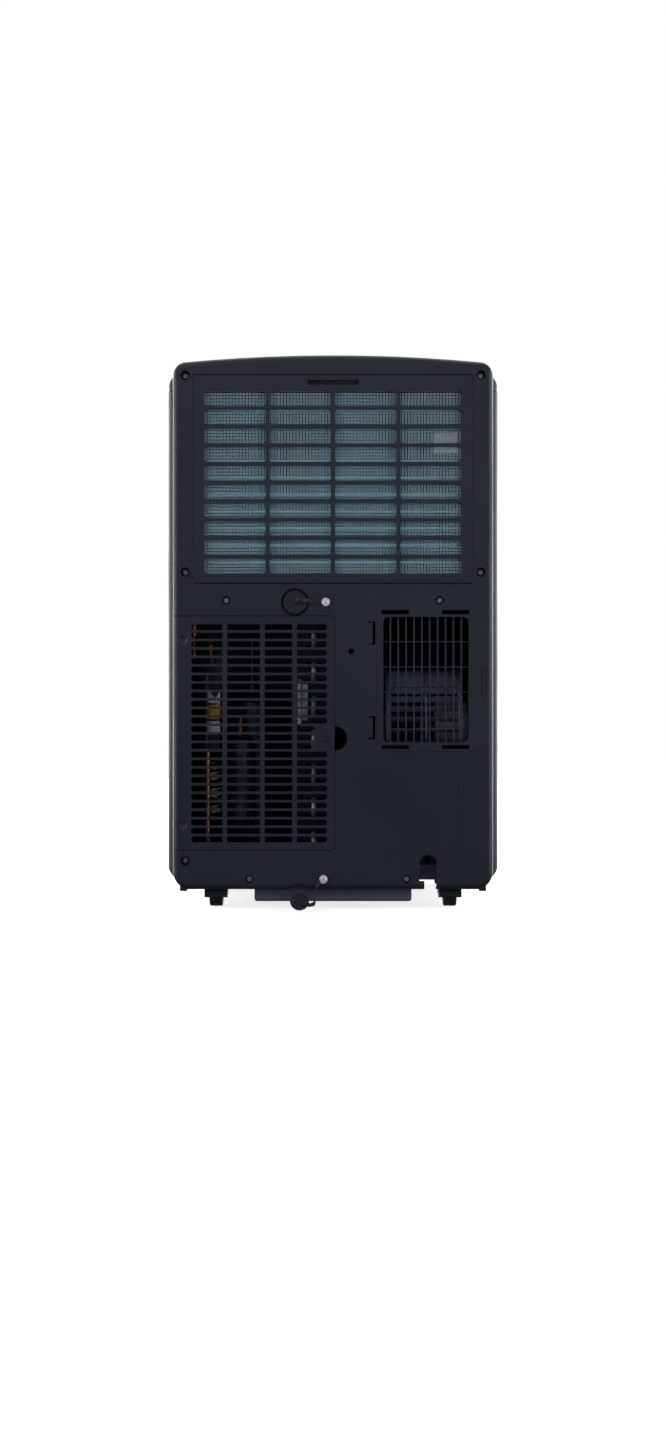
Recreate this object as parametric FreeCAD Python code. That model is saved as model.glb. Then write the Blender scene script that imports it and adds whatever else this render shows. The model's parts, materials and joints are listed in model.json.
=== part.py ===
"""Portable air conditioner on four casters: the casing, its two filter doors, the top air outlet,
the refrigeration circuit, both blowers, the drains and the casters.

Units are millimetres. The frame stands on the floor: +Z is up, the front faces -Y, the flat back
with its grilles faces +Y, and the origin is on the floor under the middle of the overall box.
"""

import FreeCAD
import Part

import math
import os

V = FreeCAD.Vector
X_AXIS, Y_AXIS, Z_AXIS = V(1, 0, 0), V(0, 1, 0), V(0, 0, 1)

# ---------------------------------------------------------------- driving dimensions
HEIGHT = 697.0            # floor to the middle of the crowned top
WIDTH = 432.0             # front case, side to side
FRONT_Y = -172.5          # middle of the bowed front face
REAR_Y = 152.5            # flat back face
GROUND = 26.0             # floor to the lower edge of the casing
WALL = 2.5                # moulded wall of the casing
SEAM = 0.4                # gap between two casing mouldings
CROWN_R = 2000.0          # radius of the crowned top, across the width
EPS = 1.0                 # how far a cutter runs past the face that it cuts

# front case
FRONT_BOW = 18.0          # how far the front face stands proud of its corners
FRONT_NARROWING = 10.0    # each side draws in by this much towards the front
SIDE_STRAIGHT_Y = 20.0    # behind this the sides run straight back
FRONT_CORNER_R = 30.0
TOP_EDGE_R = 24.0
BOTTOM_EDGE_R = 20.0
FRONT_CASE_REAR_Y = 56.0  # back edge of the front case
REAR_TURN_R = 13.0        # its sides turn inward with this radius
BOTTOM_LIP = 10.0         # width of the lip left round the open underside

# rear shell
SHELL_STEP = 15.0         # the rear shell is this much narrower than the front case, each side
SHELL_TOP_R = 17.5
SHELL_BOTTOM_R = 22.0
SHELL_EDGE_R = 7.0
SHELL_LAP = 14.0          # how far it reaches into the front case
SHELL_FIT = 0.5           # clearance between the two

# top: control panel and air outlet
PANEL_FRONT_Y = 23.0
PANEL_REAR_Y = 128.0
PANEL_SKIRT = 34.0        # its skirt reaches this far below the crown
BUTTON_ROW_Y = 85.0
DISPLAY_X, DISPLAY_W, DISPLAY_D, DISPLAY_R = -3.0, 58.0, 34.0, 5.0
BUTTON_FIT = 0.35
BUTTON_TRAVEL = 1.2
OUTLET_SIDE = 59.5        # from the case's side to the outlet
OUTLET_Y0, OUTLET_Y1 = -113.0, -4.0
OUTLET_GAP = 3.0          # gap round the flap
OUTLET_DEPTH = 58.0       # duct below the crown
DUCT_WALL = 2.0
DUCT_MARGIN = 1.5         # the duct's inside stands back from the opening by this much
DUCT_REAR_MARGIN = 5.0    # and by this much behind the flap, whose tail swings down there
FLAP_T = 3.0
FLAP_PIN_R = 2.5
FLAP_PIN_Y_INSET = 11.0   # from the flap's rear edge forward to its pins
FLAP_PIN_DROP = 4.3       # from the case's inner face, over the duct's side, down to the pins
PIN_FIT = 0.08            # radial clearance of a running pin
VANES = 5
VANE_T = 1.6
VANE_ABOVE, VANE_BELOW = 13.0, 20.0
VANE_PIN_R = 1.5
VANE_END_GAP = 9.0        # from a vane's front edge to the duct
VANE_TAIL_GAP = 24.0      # from its back edge to the duct, clear of the flap's tail
LINK_DROP = 15.0          # vane pivot down to its link pin
LINK_H, LINK_T = 6.0, 2.0

# compartments
FLOOR_Z = 46.0            # underside of the base pan's floor
DECK_Z = 396.0            # underside of the tray between the two compartments
DOOR_GAP = 0.8            # gap round each door
DOOR_T = 3.0
DOOR_PIN_R, DOOR_PIN_L = 0.8, 3.0   # moulded pivots of both doors
LEDGE_GAP = 1.0           # between a door's inner face and the ledge behind it

# upper filter door
UPPER_DOOR_HALF_X = 175.0
UPPER_DOOR_TOP_MARGIN = 25.3   # crown down to the door
UPPER_DOOR_ABOVE_DECK = 14.2
UPPER_SIDE_BORDER = 13.5
UPPER_TOP_BORDER = 20.4
UPPER_BOTTOM_BORDER = 12.5
UPPER_COLUMNS, UPPER_ROWS = 4, 10
UPPER_RIB = 5.0
UPPER_BAR = 4.5
UPPER_WINDOW_R = 3.5
TAB_HALF_X, TAB_H, TAB_DROP, TAB_DEPTH = 32.0, 6.0, 6.5, 4.0
FILTER_T = 0.8

# lower filter door
LOWER_DOOR_X0 = -2.0
LOWER_DOOR_Z0 = 76.0
LOWER_DOOR_BELOW_DECK = 27.0
LOWER_DOOR_RETURN = 16.0       # its left edge wraps round the corner this far
LOWER_DOOR_R = 5.0
SLOT_ROWS = 26
SLOT_H = 7.5
SLOT_SIDE_BORDER = 23.5        # from the door's wrapped edge
SLOT_TOP_BORDER, SLOT_BOTTOM_BORDER = 10.0, 9.5
SLOT_SPLITS = (0.0, 0.239, 0.476, 0.752, 1.0)   # columns of slots, as shares of the slotted width
SLOT_RIB = 5.8
NOTCH_R = 15.0
BOSS_R = 5.7
BOSS_KEEP = 14.0               # slots stop this far from the door screw

# exhaust outlet
EXHAUST_X0 = -63.0             # inner edge of the window
EXHAUST_SIDE_MARGIN = 31.0     # its outer edge to the side of the shell
EXHAUST_Z0 = 211.0
EXHAUST_TOP_BELOW_DECK = 28.0
EXHAUST_R = 6.0
EXHAUST_COLUMNS, EXHAUST_ROWS = 11, 5
EXHAUST_BAR = 2.0
EXHAUST_CROSSBAR = 1.4
GUARD_T = 3.0
PAD_RISE = 1.0                 # the adapter's seat stands proud of the back
HOOK_L, HOOK_H = 34.5, 5.6
HOOK_SLOT_H, HOOK_RECESS = 4.8, 1.6   # the slot at a hook recess's edge, and the recess's depth
LATCH_H, LATCH_GAP = 29.0, 1.6  # a springy tongue in each side slot, with this gap round it

# drains
UPPER_DRAIN_X, UPPER_DRAIN_Z = 47.6, 386.6
LOWER_DRAIN_X, LOWER_DRAIN_Z = 41.7, 14.5
SPOUT_R, SPOUT_BORE = 9.0, 6.5
UPPER_CAP_R, LOWER_CAP_R = 14.5, 12.0
CAP_FIT = 0.35
PLUG_CAP_T = 6.5
PLUG_BUTTON_T = 1.4
STRAP_W, STRAP_T = 4.6, 1.6
UPPER_STRAP_SCREW = (9.1, 387.0)
LOWER_STRAP_SCREW = (12.0, 39.5)

# screws
WELL_R, WELL_DEPTH = 5.3, 7.0
EDGE_WELL_R, EDGE_WELL_DEPTH = 6.0, 11.0
SCREW_HEAD_R, SCREW_HEAD_H, SCREW_R, SCREW_L = 3.4, 2.4, 1.9, 9.0
CROSS_R, CROSS_HALF, CROSS_FLOOR = 2.0, 0.45, 1.2   # the cross recess in a screw's head
WASHER_R = 5.2
EDGE_WELL_INSET = 15.5         # the corner screws' distance from the shell's side
DIMPLE_R, DIMPLE_DEPTH = 6.0, 1.6   # shallow dishes in the lower door's wrapped edge
DIMPLE_INSET = 13.0            # from the shell's side to their middles
CLIP_W, CLIP_H, CLIP_REACH = 4.0, 11.0, 8.0   # the hooks that hold the front case's flange
FOOT_W, FOOT_H, FOOT_L = 9.0, 2.6, 60.0       # moulded rests under the shell's corners
FOOT_INSET = 13.0
RIB_W, RIB_H = 1.2, 32.0       # the small locating rib beside the adapter's seat
PAD_OVERLAP = 0.5              # how far a joined piece sinks into what it stands on
SPARE_HOLE = (-22.8, 325.0)
SPARE_HOLE_R = 3.6

# casters
CASTER_INSET = 67.5            # from the case's side to a caster's stem
CASTER_REAR_Y, CASTER_FRONT_Y = 100.0, -105.0
WHEEL_R, WHEEL_W = 15.5, 17.0
CASTER_TRAIL = 9.0
AXLE_R = 2.5
STEM_R = 4.0
FORK_CLEAR = 0.8
FORK_T = 5.0
HOOD_R = 19.2
HOOD_LOW_Z = 13.4
SOCKET_Z = 40.0                # lower face of the socket that a stem turns in
SOCKET_R = 9.0
SOCKET_TOP = 58.0

# sump under the base
TRAY_FROM_CASTER = 49.5        # a caster swings clear between its stem and the sump
TRAY_BOTTOM_Z = 9.3
TRAY_REAR_Y, TRAY_FRONT_Y = 138.0, 20.0
TRAY_WALL = 2.2
PAN_T = 2.5
REAR_KEEP = 13.0               # the base pan and the deck stop this far from the back

# refrigeration and air
COIL_PITCH = 21.4              # between tube centres in a coil
TUBE_R = 3.5
COIL_T = 32.0
END_PLATE_T = 1.5
END_PLATE_MARGIN = 4.0
CONDENSER_X0 = 8.0
CONDENSER_Y0, CONDENSER_Y1 = -120.0, 122.0
EVAPORATOR_SIDE = 43.0         # from the shell's side to the coil
EVAPORATOR_Y0 = 92.0
FIN_GROOVE = 1.2
COMPRESSOR_R, COMPRESSOR_H = 50.0, 205.0
COMPRESSOR_FROM_CONDENSER = 66.0
COMPRESSOR_Y = -45.0
MOUNT_H = 12.0
ACCUMULATOR_R, ACCUMULATOR_H = 21.0, 120.0
ACCUMULATOR_LIFT = 44.0        # from the base pan to its lower end
PIPE_R = 4.0
WHEEL_BLADES = 32
BLADE_DEPTH, BLADE_T = 10.0, 1.2
EXHAUST_FAN_R, EXHAUST_FAN_Y, EXHAUST_FAN_Z = 76.0, 20.0, 222.0
INDOOR_FAN_R = 52.0
INDOOR_FAN_INSET = 44.5        # from the outlet's end to the wheel's end
INDOOR_SCROLL_R = 84.0         # where its scroll meets the outlet duct
FAN_GAP = 8.0                  # from a wheel to its casing where they are closest
MOTOR_R, MOTOR_L = 36.0, 44.0
SHAFT_R = 4.0

# ---------------------------------------------------------------- values that follow from them
HALF_W = WIDTH / 2
SHELL_HALF = HALF_W - SHELL_STEP
SHELL_FRONT_Y = FRONT_CASE_REAR_Y - SHELL_LAP
OUTLET_HALF_X = HALF_W - OUTLET_SIDE
CASTER_X = HALF_W - CASTER_INSET
TRAY_HALF_X = CASTER_X - TRAY_FROM_CASTER
EVAPORATOR_HALF_X = SHELL_HALF - EVAPORATOR_SIDE
COMPRESSOR_X = CONDENSER_X0 + COIL_T + END_PLATE_MARGIN + COMPRESSOR_FROM_CONDENSER
INDOOR_FAN_HALF = OUTLET_HALF_X - INDOOR_FAN_INSET
PANEL_Z = HEIGHT - PANEL_SKIRT
UPPER_DOOR_Z1 = HEIGHT - UPPER_DOOR_TOP_MARGIN
UPPER_DOOR_Z0 = DECK_Z + UPPER_DOOR_ABOVE_DECK
UPPER_DOOR_X = min(UPPER_DOOR_HALF_X, SHELL_HALF - SHELL_STEP - 2 * WELL_R)
LOWER_DOOR_Z1 = DECK_Z - LOWER_DOOR_BELOW_DECK
LOWER_DOOR_MID_Z = 0.5 * (LOWER_DOOR_Z0 + LOWER_DOOR_Z1) - 6.5
SUCTION_XY = (EVAPORATOR_HALF_X + 22.0, 60.0)   # where each line passes the deck
LIQUID_XY = (EVAPORATOR_HALF_X + 22.0, 76.0)
UPPER_HINGE = (REAR_Y - DOOR_T / 2, UPPER_DOOR_Z0 + DOOR_T / 2)
LOWER_HINGE = (SHELL_HALF - WALL / 2, REAR_Y - LOWER_DOOR_RETURN + WALL / 2)
EXHAUST_X1 = -(SHELL_HALF - EXHAUST_SIDE_MARGIN)
EXHAUST_Z1 = DECK_Z - EXHAUST_TOP_BELOW_DECK
INNER_REAR_Y = REAR_Y - WALL
STRAP_Y = REAR_Y + 0.1
DEPTH_HALF = -FRONT_Y                      # the sump's plug reaches as far back as the front face is forward
INDOOR_FAN_Y = OUTLET_Y1 + DUCT_REAR_MARGIN - INDOOR_SCROLL_R
PIN_Y = OUTLET_Y1 - OUTLET_GAP - FLAP_PIN_Y_INSET
VANE_STEP = 2 * OUTLET_HALF_X / (VANES + 0.2)
SUMP_PLUG_Y = DEPTH_HALF - STRAP_T - PLUG_BUTTON_T - PLUG_CAP_T   # inner face of its cap


# ---------------------------------------------------------------- small helpers
def box(x0, x1, y0, y1, z0, z1):
    """A box between two corners, given in either order."""
    low = V(min(x0, x1), min(y0, y1), min(z0, z1))
    return Part.makeBox(abs(x1 - x0), abs(y1 - y0), abs(z1 - z0), low)


def rounded_box(x0, x1, y0, y1, z0, z1, radius, axis):
    """A box whose four edges along axis are rounded."""
    solid = box(x0, x1, y0, y1, z0, z1)
    along = [e for e in solid.Edges if abs(e.tangentAt(e.FirstParameter).dot(axis)) > 0.99]
    return solid.makeFillet(radius, along)


def rod(x, y, z, radius, length, axis):
    """A cylinder that starts at a point and runs along axis."""
    return Part.makeCylinder(radius, length, V(x, y, z), axis)


def tube(x, y, z, outer, bore, length, axis):
    """A rod with a bore right through it."""
    return rod(x, y, z, outer, length, axis).cut(rod(x, y, z, bore, length, axis))


def joined(solids):
    """One solid from several that touch or overlap."""
    first, *rest = solids
    return first.multiFuse(rest).removeSplitter() if rest else first


def group(solids):
    """Several separate solids kept as one piece."""
    return Part.makeCompound(solids)


def crown_drop(x, inset=0.0):
    """How far the crowned top has fallen at x from its middle."""
    return CROWN_R - inset - math.sqrt((CROWN_R - inset) ** 2 - x * x)


def under_crown(half_x, y0, y1, z0, inset=0.0):
    """A block with the crown as its top, lowered by inset."""
    top, edge = HEIGHT - inset, HEIGHT - inset - crown_drop(half_x, inset)
    left, right = V(-half_x, y0, edge), V(half_x, y0, edge)
    arc = Part.Arc(left, V(0, y0, top), right).toShape()
    low_right, low_left = V(half_x, y0, z0), V(-half_x, y0, z0)
    corners = [right, low_right, low_left, left]
    sides = [Part.makeLine(a, b) for a, b in zip(corners, corners[1:])]
    return Part.Face(Part.Wire([arc] + sides)).extrude(V(0, y1 - y0, 0))


def bent_tube(points, radius, bend):
    """A round tube along straight runs joined by tangent arcs of one radius."""
    edges, start = [], points[0]
    for before, corner, after in zip(points, points[1:], points[2:]):
        into, out = (corner - before).normalize(), (after - corner).normalize()
        half_turn = into.getAngle(out) / 2
        cut = bend * math.tan(half_turn)
        first, last = corner - into * cut, corner + out * cut
        to_centre = (out - into).normalize() * (bend / math.cos(half_turn))
        middle = corner + to_centre - (to_centre * 1.0).normalize() * bend
        edges += [Part.makeLine(start, first), Part.Arc(first, middle, last).toShape()]
        start = last
    edges.append(Part.makeLine(start, points[-1]))
    profile = Part.Wire(Part.makeCircle(radius, points[0], points[1] - points[0]))
    return Part.Wire(edges).makePipeShell([profile], True, True)


# ---------------------------------------------------------------- casing bodies
def circles_meet(centre_a, radius_a, centre_b, radius_b):
    """The point where two circles in the XY plane cross, the one further to +X."""
    gap = centre_b - centre_a
    apart = gap.Length
    along = (radius_a**2 - radius_b**2 + apart**2) / (2 * apart)
    across = math.sqrt(radius_a**2 - along**2)
    unit = gap * (1 / apart)
    middle = centre_a + unit * along
    side = V(-unit.y, unit.x, 0) * across
    return max(middle + side, middle - side, key=lambda point: point.x)


def front_plan(inset):
    """The front case's outline from above, its back running past the trim."""
    back, corner_y = FRONT_CASE_REAR_Y + 40.0, FRONT_Y + FRONT_BOW
    half_front, run = HALF_W - FRONT_NARROWING, SIDE_STRAIGHT_Y - corner_y
    bow_r = (half_front**2 + FRONT_BOW**2) / (2 * FRONT_BOW)
    side_r = (run**2 + FRONT_NARROWING**2) / (2 * FRONT_NARROWING)
    bow_centre, side_centre = V(0, FRONT_Y + bow_r, 0), V(HALF_W - side_r, SIDE_STRAIGHT_Y, 0)
    corner = circles_meet(bow_centre, bow_r - inset, side_centre, side_r - inset)
    side_end = V(HALF_W - inset, SIDE_STRAIGHT_Y, 0)
    half_way = ((corner + side_end) * 0.5 - side_centre).normalize()
    middle = side_centre + half_way * (side_r - inset)
    mirror = [V(-point.x, point.y, 0) for point in (corner, middle, side_end)]
    front = Part.Arc(mirror[0], V(0, FRONT_Y + inset, 0), corner).toShape()
    right = Part.Arc(corner, middle, side_end).toShape()
    left = Part.Arc(mirror[2], mirror[1], mirror[0]).toShape()
    turns = [side_end, V(side_end.x, back, 0), V(-side_end.x, back, 0), mirror[2]]
    return Part.Wire([front, right] + [Part.makeLine(a, b) for a, b in zip(turns, turns[1:])] + [left])


def front_body(inset=0.0):
    """The solid that the front case is a shell of, drawn in by inset all round."""
    bottom = GROUND + inset
    prism = Part.Face(front_plan(inset)).extrude(V(0, 0, HEIGHT))
    upright = [e for e in prism.Edges if e.BoundBox.ZLength > HEIGHT / 2]
    at_front = [e for e in upright if e.BoundBox.YMax < FRONT_Y + 2 * FRONT_BOW]
    prism = prism.makeFillet(FRONT_CORNER_R - inset, at_front)
    body = prism.common(under_crown(HALF_W + 10, FRONT_Y - 10, REAR_Y, bottom, inset))
    back = FRONT_CASE_REAR_Y + 35.0
    level = [e for e in body.Edges if e.BoundBox.ZLength < 20 and e.BoundBox.YMin < back]
    top = [e for e in level if e.BoundBox.ZMin > HEIGHT - 40]
    low = [e for e in level if e.BoundBox.ZMax < bottom + EPS]
    return body.makeFillet(TOP_EDGE_R - inset, top).makeFillet(BOTTOM_EDGE_R - inset, low)


def rear_trim(inset=0.0):
    """A block that ends the front case at its back with rounded turns at both sides."""
    half, back = HALF_W - inset, FRONT_CASE_REAR_Y - inset
    block = box(-half, half, FRONT_Y - 10, back, 0, HEIGHT + 10)
    turns = [e for e in block.Edges if e.BoundBox.ZLength > HEIGHT / 2 and e.BoundBox.YMin > back - EPS]
    return block.makeFillet(REAR_TURN_R - inset, turns)


def rear_body(inset=0.0, front_y=SHELL_FRONT_Y, grow=0.0):
    """The solid that the rear shell is a shell of; grow makes it larger without rounding its back."""
    half, bottom = SHELL_HALF - inset + grow, GROUND + inset - grow
    back = REAR_Y - inset + grow
    block = under_crown(half, front_y, back, bottom, inset - grow)
    along = [e for e in block.Edges if e.BoundBox.YLength > (back - front_y) - EPS]
    top = [e for e in along if e.BoundBox.ZMin > HEIGHT / 2]
    low = [e for e in along if e.BoundBox.ZMin < HEIGHT / 2]
    block = block.makeFillet(SHELL_TOP_R - inset + grow, top).makeFillet(SHELL_BOTTOM_R - inset + grow, low)
    if grow:
        return block
    at_back = [e for e in block.Edges if e.BoundBox.YMin > back - EPS]
    return block.makeFillet(SHELL_EDGE_R - inset, at_back)


FRONT_OUTER = front_body().common(rear_trim())
FRONT_INNER = front_body(WALL).common(rear_trim(WALL))
REAR_OUTER = rear_body()
REAR_INNER = rear_body(WALL, SHELL_FRONT_Y - EPS)


# ---------------------------------------------------------------- casing pieces
def control_panel_zone(z_gap=0.0):
    """The space that the control panel takes out of the two cases below it."""
    y0, y1, z0 = PANEL_FRONT_Y - z_gap, PANEL_REAR_Y + z_gap, PANEL_Z - z_gap
    return box(-WIDTH, WIDTH, y0, y1, z0, HEIGHT + 10)


def outlet_opening(shrink=0.0):
    """The air outlet's rectangle through the top."""
    half = OUTLET_HALF_X - shrink
    y0, y1 = OUTLET_Y0 + shrink, OUTLET_Y1 - shrink
    z0 = HEIGHT - OUTLET_DEPTH
    return rounded_box(-half, half, y0, y1, z0, HEIGHT + 10, 5.0, Z_AXIS)


def open_underside(half_x, y0, y1):
    """A cutter that opens the bottom of a case and leaves only its lip."""
    return box(-half_x + BOTTOM_LIP, half_x - BOTTOM_LIP, y0 + BOTTOM_LIP, y1, 0, GROUND + 30)


def side_grip(side, grow=0.0):
    """The hand recess in one side; side is -1 or +1."""
    x0, x1 = side * (HALF_W - 20 - grow), side * (HALF_W + 10)
    y0, y1, z0, z1 = -72 - grow, 28 + grow, HEIGHT - 150 - grow, HEIGHT - 112 + grow
    return rounded_box(x0, x1, y0, y1, z0, z1, 10.0 + grow, X_AXIS)


def front_case():
    """Bowed front, both sides and the front half of the top, with an inward flange at its back."""
    shell = FRONT_OUTER.cut(FRONT_INNER)
    shell = shell.cut(rear_body(0.0, FRONT_CASE_REAR_Y - WALL - EPS, SHELL_FIT))
    shell = shell.cut(control_panel_zone(SEAM))
    shell = shell.cut(outlet_opening())
    shell = shell.cut(open_underside(HALF_W - FRONT_NARROWING, FRONT_Y + FRONT_BOW, FRONT_CASE_REAR_Y + EPS))
    for side in (-1, 1):
        shell = shell.cut(side_grip(side))
    return max(shell.Solids, key=lambda s: s.Volume)


def side_handles():
    """The cup behind each hand recess."""
    cups = []
    for side in (-1, 1):
        outer = side_grip(side, WALL).common(FRONT_INNER)
        cups.append(outer.cut(side_grip(side)))
    return group([max(c.Solids, key=lambda s: s.Volume) for c in cups])


def button_places():
    """Name, middle and size of each button on the control panel."""
    row = BUTTON_ROW_Y
    return {
        "button_timer": (-121.0, row, 24.0, 14.0),
        "button_power": (-83.0, row, 24.0, 14.0),
        "button_warmer": (47.0, row + 11.0, 20.0, 12.0),
        "button_cooler": (47.0, row - 11.0, 20.0, 12.0),
        "button_mode": (96.0, row, 24.0, 14.0),
        "button_fan": (131.0, row, 24.0, 14.0),
    }


def button_prism(place, grow, z0, z1):
    """A button's outline, grown and run between two heights."""
    x, y, w, d = place
    radius = min(w, d) / 2 - 1.0 + grow
    half_w, half_d = w / 2 + grow, d / 2 + grow
    return rounded_box(x - half_w, x + half_w, y - half_d, y + half_d, z0, z1, radius, Z_AXIS)


def display_prism(grow, z0, z1):
    """The display window's outline."""
    half_w, half_d, radius = DISPLAY_W / 2 + grow, DISPLAY_D / 2 + grow, DISPLAY_R + grow
    x, y = DISPLAY_X, BUTTON_ROW_Y
    return rounded_box(x - half_w, x + half_w, y - half_d, y + half_d, z0, z1, radius, Z_AXIS)


def control_panel():
    """The dark rear half of the top, with a skirt down each side and holes for its buttons."""
    zone = control_panel_zone()
    outer = joined([FRONT_OUTER, REAR_OUTER]).common(zone)
    inner = joined([FRONT_INNER.common(rear_trim(WALL)), REAR_INNER]).common(control_panel_zone(EPS))
    panel = outer.cut(inner)
    for place in button_places().values():
        panel = panel.cut(button_prism(place, BUTTON_FIT, HEIGHT - 20, HEIGHT + 5))
    panel = panel.cut(display_prism(0.0, HEIGHT - 20, HEIGHT + 5))
    return max(panel.Solids, key=lambda s: s.Volume)


def panel_button(place):
    """One button: a cap that follows the crown and a flange that keeps it in the panel."""
    x, y, w, d = place
    cap = button_prism(place, 0.0, HEIGHT - 12, HEIGHT + 5).common(under_crown(HALF_W, 0, REAR_Y, 0, -0.5))
    edge = max(abs(x - w / 2), abs(x + w / 2))
    flange_top = HEIGHT - crown_drop(edge) - WALL - BUTTON_FIT
    flange = button_prism(place, 1.4, flange_top - 1.5, flange_top)
    stalk = rod(x, y, flange_top - 5.0, 2.0, 4.0, Z_AXIS)
    return joined([cap.cut(box(-WIDTH, WIDTH, -WIDTH, WIDTH, 0, flange_top - 1.0)), flange, stalk])


def display_window():
    """The smoked window over the display, flush with the panel."""
    body = under_crown(HALF_W, 0, REAR_Y, 0, 0.0)
    return display_prism(-SEAM / 2, HEIGHT - crown_drop(32) - WALL, HEIGHT + 5).common(body)


def control_board():
    """The circuit board under the buttons, with its display and a switch under each button."""
    top = HEIGHT - crown_drop(143) - WALL - BUTTON_FIT - 5.0 - BUTTON_TRAVEL - 4.5
    board = box(-150, 150, BUTTON_ROW_Y - 25, BUTTON_ROW_Y + 25, top - 1.6, top)
    solids = [board, box(-26, 20, BUTTON_ROW_Y - 11, BUTTON_ROW_Y + 11, top, top + 8)]
    for x, y, _, _ in button_places().values():
        solids.append(box(x - 3, x + 3, y - 3, y + 3, top, top + 3.4))
    return group(solids)


def screw_well(x, z, radius, depth):
    """(boss to add, recess to cut) of a sunk screw in the back."""
    boss = rod(x, REAR_Y - depth - 2.0, z, radius + 2.0, depth - WALL + 2.5, Y_AXIS)
    recess = joined([
        rod(x, REAR_Y - depth, z, radius, depth + 5, Y_AXIS),
        rod(x, REAR_Y - depth - 5, z, SCREW_R + 0.15, 10, Y_AXIS),
    ])
    return boss, recess


def well_screw_places():
    """The sunk screws in the rear shell: (x, z, well radius, well depth)."""
    inset, shallow, deep = SHELL_HALF - EDGE_WELL_INSET, (WELL_R, WELL_DEPTH), (EDGE_WELL_R, EDGE_WELL_DEPTH)
    places = [(side * inset, z, *deep) for side in (-1, 1) for z in (UPPER_DOOR_Z1 - 0.5, UPPER_DOOR_Z0 + 14)]
    places += [(side * 134.0, DECK_Z - 7, *shallow) for side in (-1, 1)]
    return places + [(-92.4, 39.1, *shallow), (104.9, 39.1, *shallow), (inset, 62.0, *deep)]


def upper_door_zone(grow, y0, y1):
    """The upper door's outline, grown and run between two depths."""
    x = UPPER_DOOR_X + grow
    return rounded_box(-x, x, y0, y1, UPPER_DOOR_Z0 - grow, UPPER_DOOR_Z1 + grow, 3.0 + grow, Y_AXIS)


def lower_door_zone(grow, wrap_y):
    """The lower door's region of the rear shell, round its corner."""
    x0, x1 = LOWER_DOOR_X0 - grow, SHELL_HALF + 5
    block = box(x0, x1, wrap_y - grow, REAR_Y + 5, LOWER_DOOR_Z0 - grow, LOWER_DOOR_Z1 + grow)
    edges = [e for e in block.Edges if e.BoundBox.YLength > 5 and e.BoundBox.XMax < x0 + EPS]
    return block.makeFillet(LOWER_DOOR_R + grow, edges)


def ledge(outer, hole):
    """A frame behind a door's edge for it to close on."""
    y0 = REAR_Y - DOOR_T - LEDGE_GAP - 2.0
    x0, x1, z0, z1 = outer
    a0, a1, b0, b1 = hole
    frame = box(x0, x1, y0, REAR_Y - DOOR_T - LEDGE_GAP, z0, z1)
    rim = box(x0, x1, y0, INNER_REAR_Y + 0.5, z0, z1).cut(box(x0 + 2, x1 - 2, y0 - 1, REAR_Y, z0 + 2, z1 - 2))
    return joined([frame, rim]).cut(box(a0, a1, y0 - 1, REAR_Y, b0, b1))


def exhaust_window(grow, y0, y1):
    """The exhaust outlet's outline, grown and run between two depths."""
    box_ = (EXHAUST_X0 + grow, EXHAUST_X1 - grow, y0, y1, EXHAUST_Z0 - grow, EXHAUST_Z1 + grow)
    return rounded_box(*box_, EXHAUST_R + grow, Y_AXIS)


def hook_slots():
    """The recesses and slots that the hose adapter hooks into, as cutters."""
    near, far = EXHAUST_X0 + 2.3, EXHAUST_X1 - 1.0
    y0, y1 = INNER_REAR_Y - EPS, REAR_Y + PAD_RISE + EPS
    slots, recess_y = [], REAR_Y + PAD_RISE - HOOK_RECESS
    for x0, x1 in ((near, near - HOOK_L), (far, far + HOOK_L)):
        for edge, way in ((EXHAUST_Z1 + 3.6, 1), (EXHAUST_Z0 - 3.6, -1)):
            slots.append(box(x0, x1, recess_y, y1, edge, edge + way * HOOK_H))
            slots.append(box(x0, x1, y0, y1, edge, edge + way * HOOK_SLOT_H))
    for z0 in (EXHAUST_Z1 - HOOK_L, EXHAUST_Z0 + 4.0):
        latch = box(near + 7.5, near + 16.5, y0, y1, z0, z0 + LATCH_H)
        tongue = box(near + 11.0, near + 17.0, y0, y1 - 2 * EPS, z0 + LATCH_GAP, z0 + LATCH_H - LATCH_GAP)
        slots.append(latch.cut(tongue))
    return slots


def exhaust_pad():
    """The slightly raised flat seat round the exhaust window."""
    low, high = EXHAUST_Z0 - 11.5, EXHAUST_Z1 + 11.5
    y0, y1 = INNER_REAR_Y + PAD_OVERLAP, REAR_Y + PAD_RISE
    return rounded_box(EXHAUST_X0 + 6.0, EXHAUST_X1 - 17.0, y0, y1, low, high, 10.0, Y_AXIS)


def cord_arch(grow, y0, y1):
    """The round-topped opening that the supply cord leaves by."""
    radius, x, top = 10.8 + grow, -119.2, 70.0 + grow
    slab = box(x - radius, x + radius, y0, y1, 37.0 - grow, top - radius)
    return joined([slab, rod(x, y0, top - radius, radius, y1 - y0, Y_AXIS)])


def drain_recess(grow, y0, y1):
    """The round recess of the upper drain."""
    return rod(UPPER_DRAIN_X, y0, UPPER_DRAIN_Z, UPPER_CAP_R + 2.8 + grow, y1 - y0, Y_AXIS)


def sump_arch(grow, y0, y1):
    """The arched opening over the lower drain."""
    radius = LOWER_CAP_R + 1.5 + grow
    slab = box(LOWER_DRAIN_X - radius, LOWER_DRAIN_X + radius, y0, y1, 0, 21.0)
    return joined([slab, rod(LOWER_DRAIN_X, y0, 21.0, radius, y1 - y0, Y_AXIS)])


def side_clips():
    """The hooks on the shell's sides that hold the front case's flange."""
    clips = []
    for side in (-1, 1):
        for z in (HEIGHT - 56.0, DECK_Z - 5.2, 110.6):
            x0, x1, y0 = side * SHELL_HALF, side * (SHELL_HALF + CLIP_REACH), FRONT_CASE_REAR_Y + 0.3
            clips.append(box(x0, x1, y0, y0 + CLIP_W, z - CLIP_H / 2, z + CLIP_H / 2))
    return group(clips)


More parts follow.
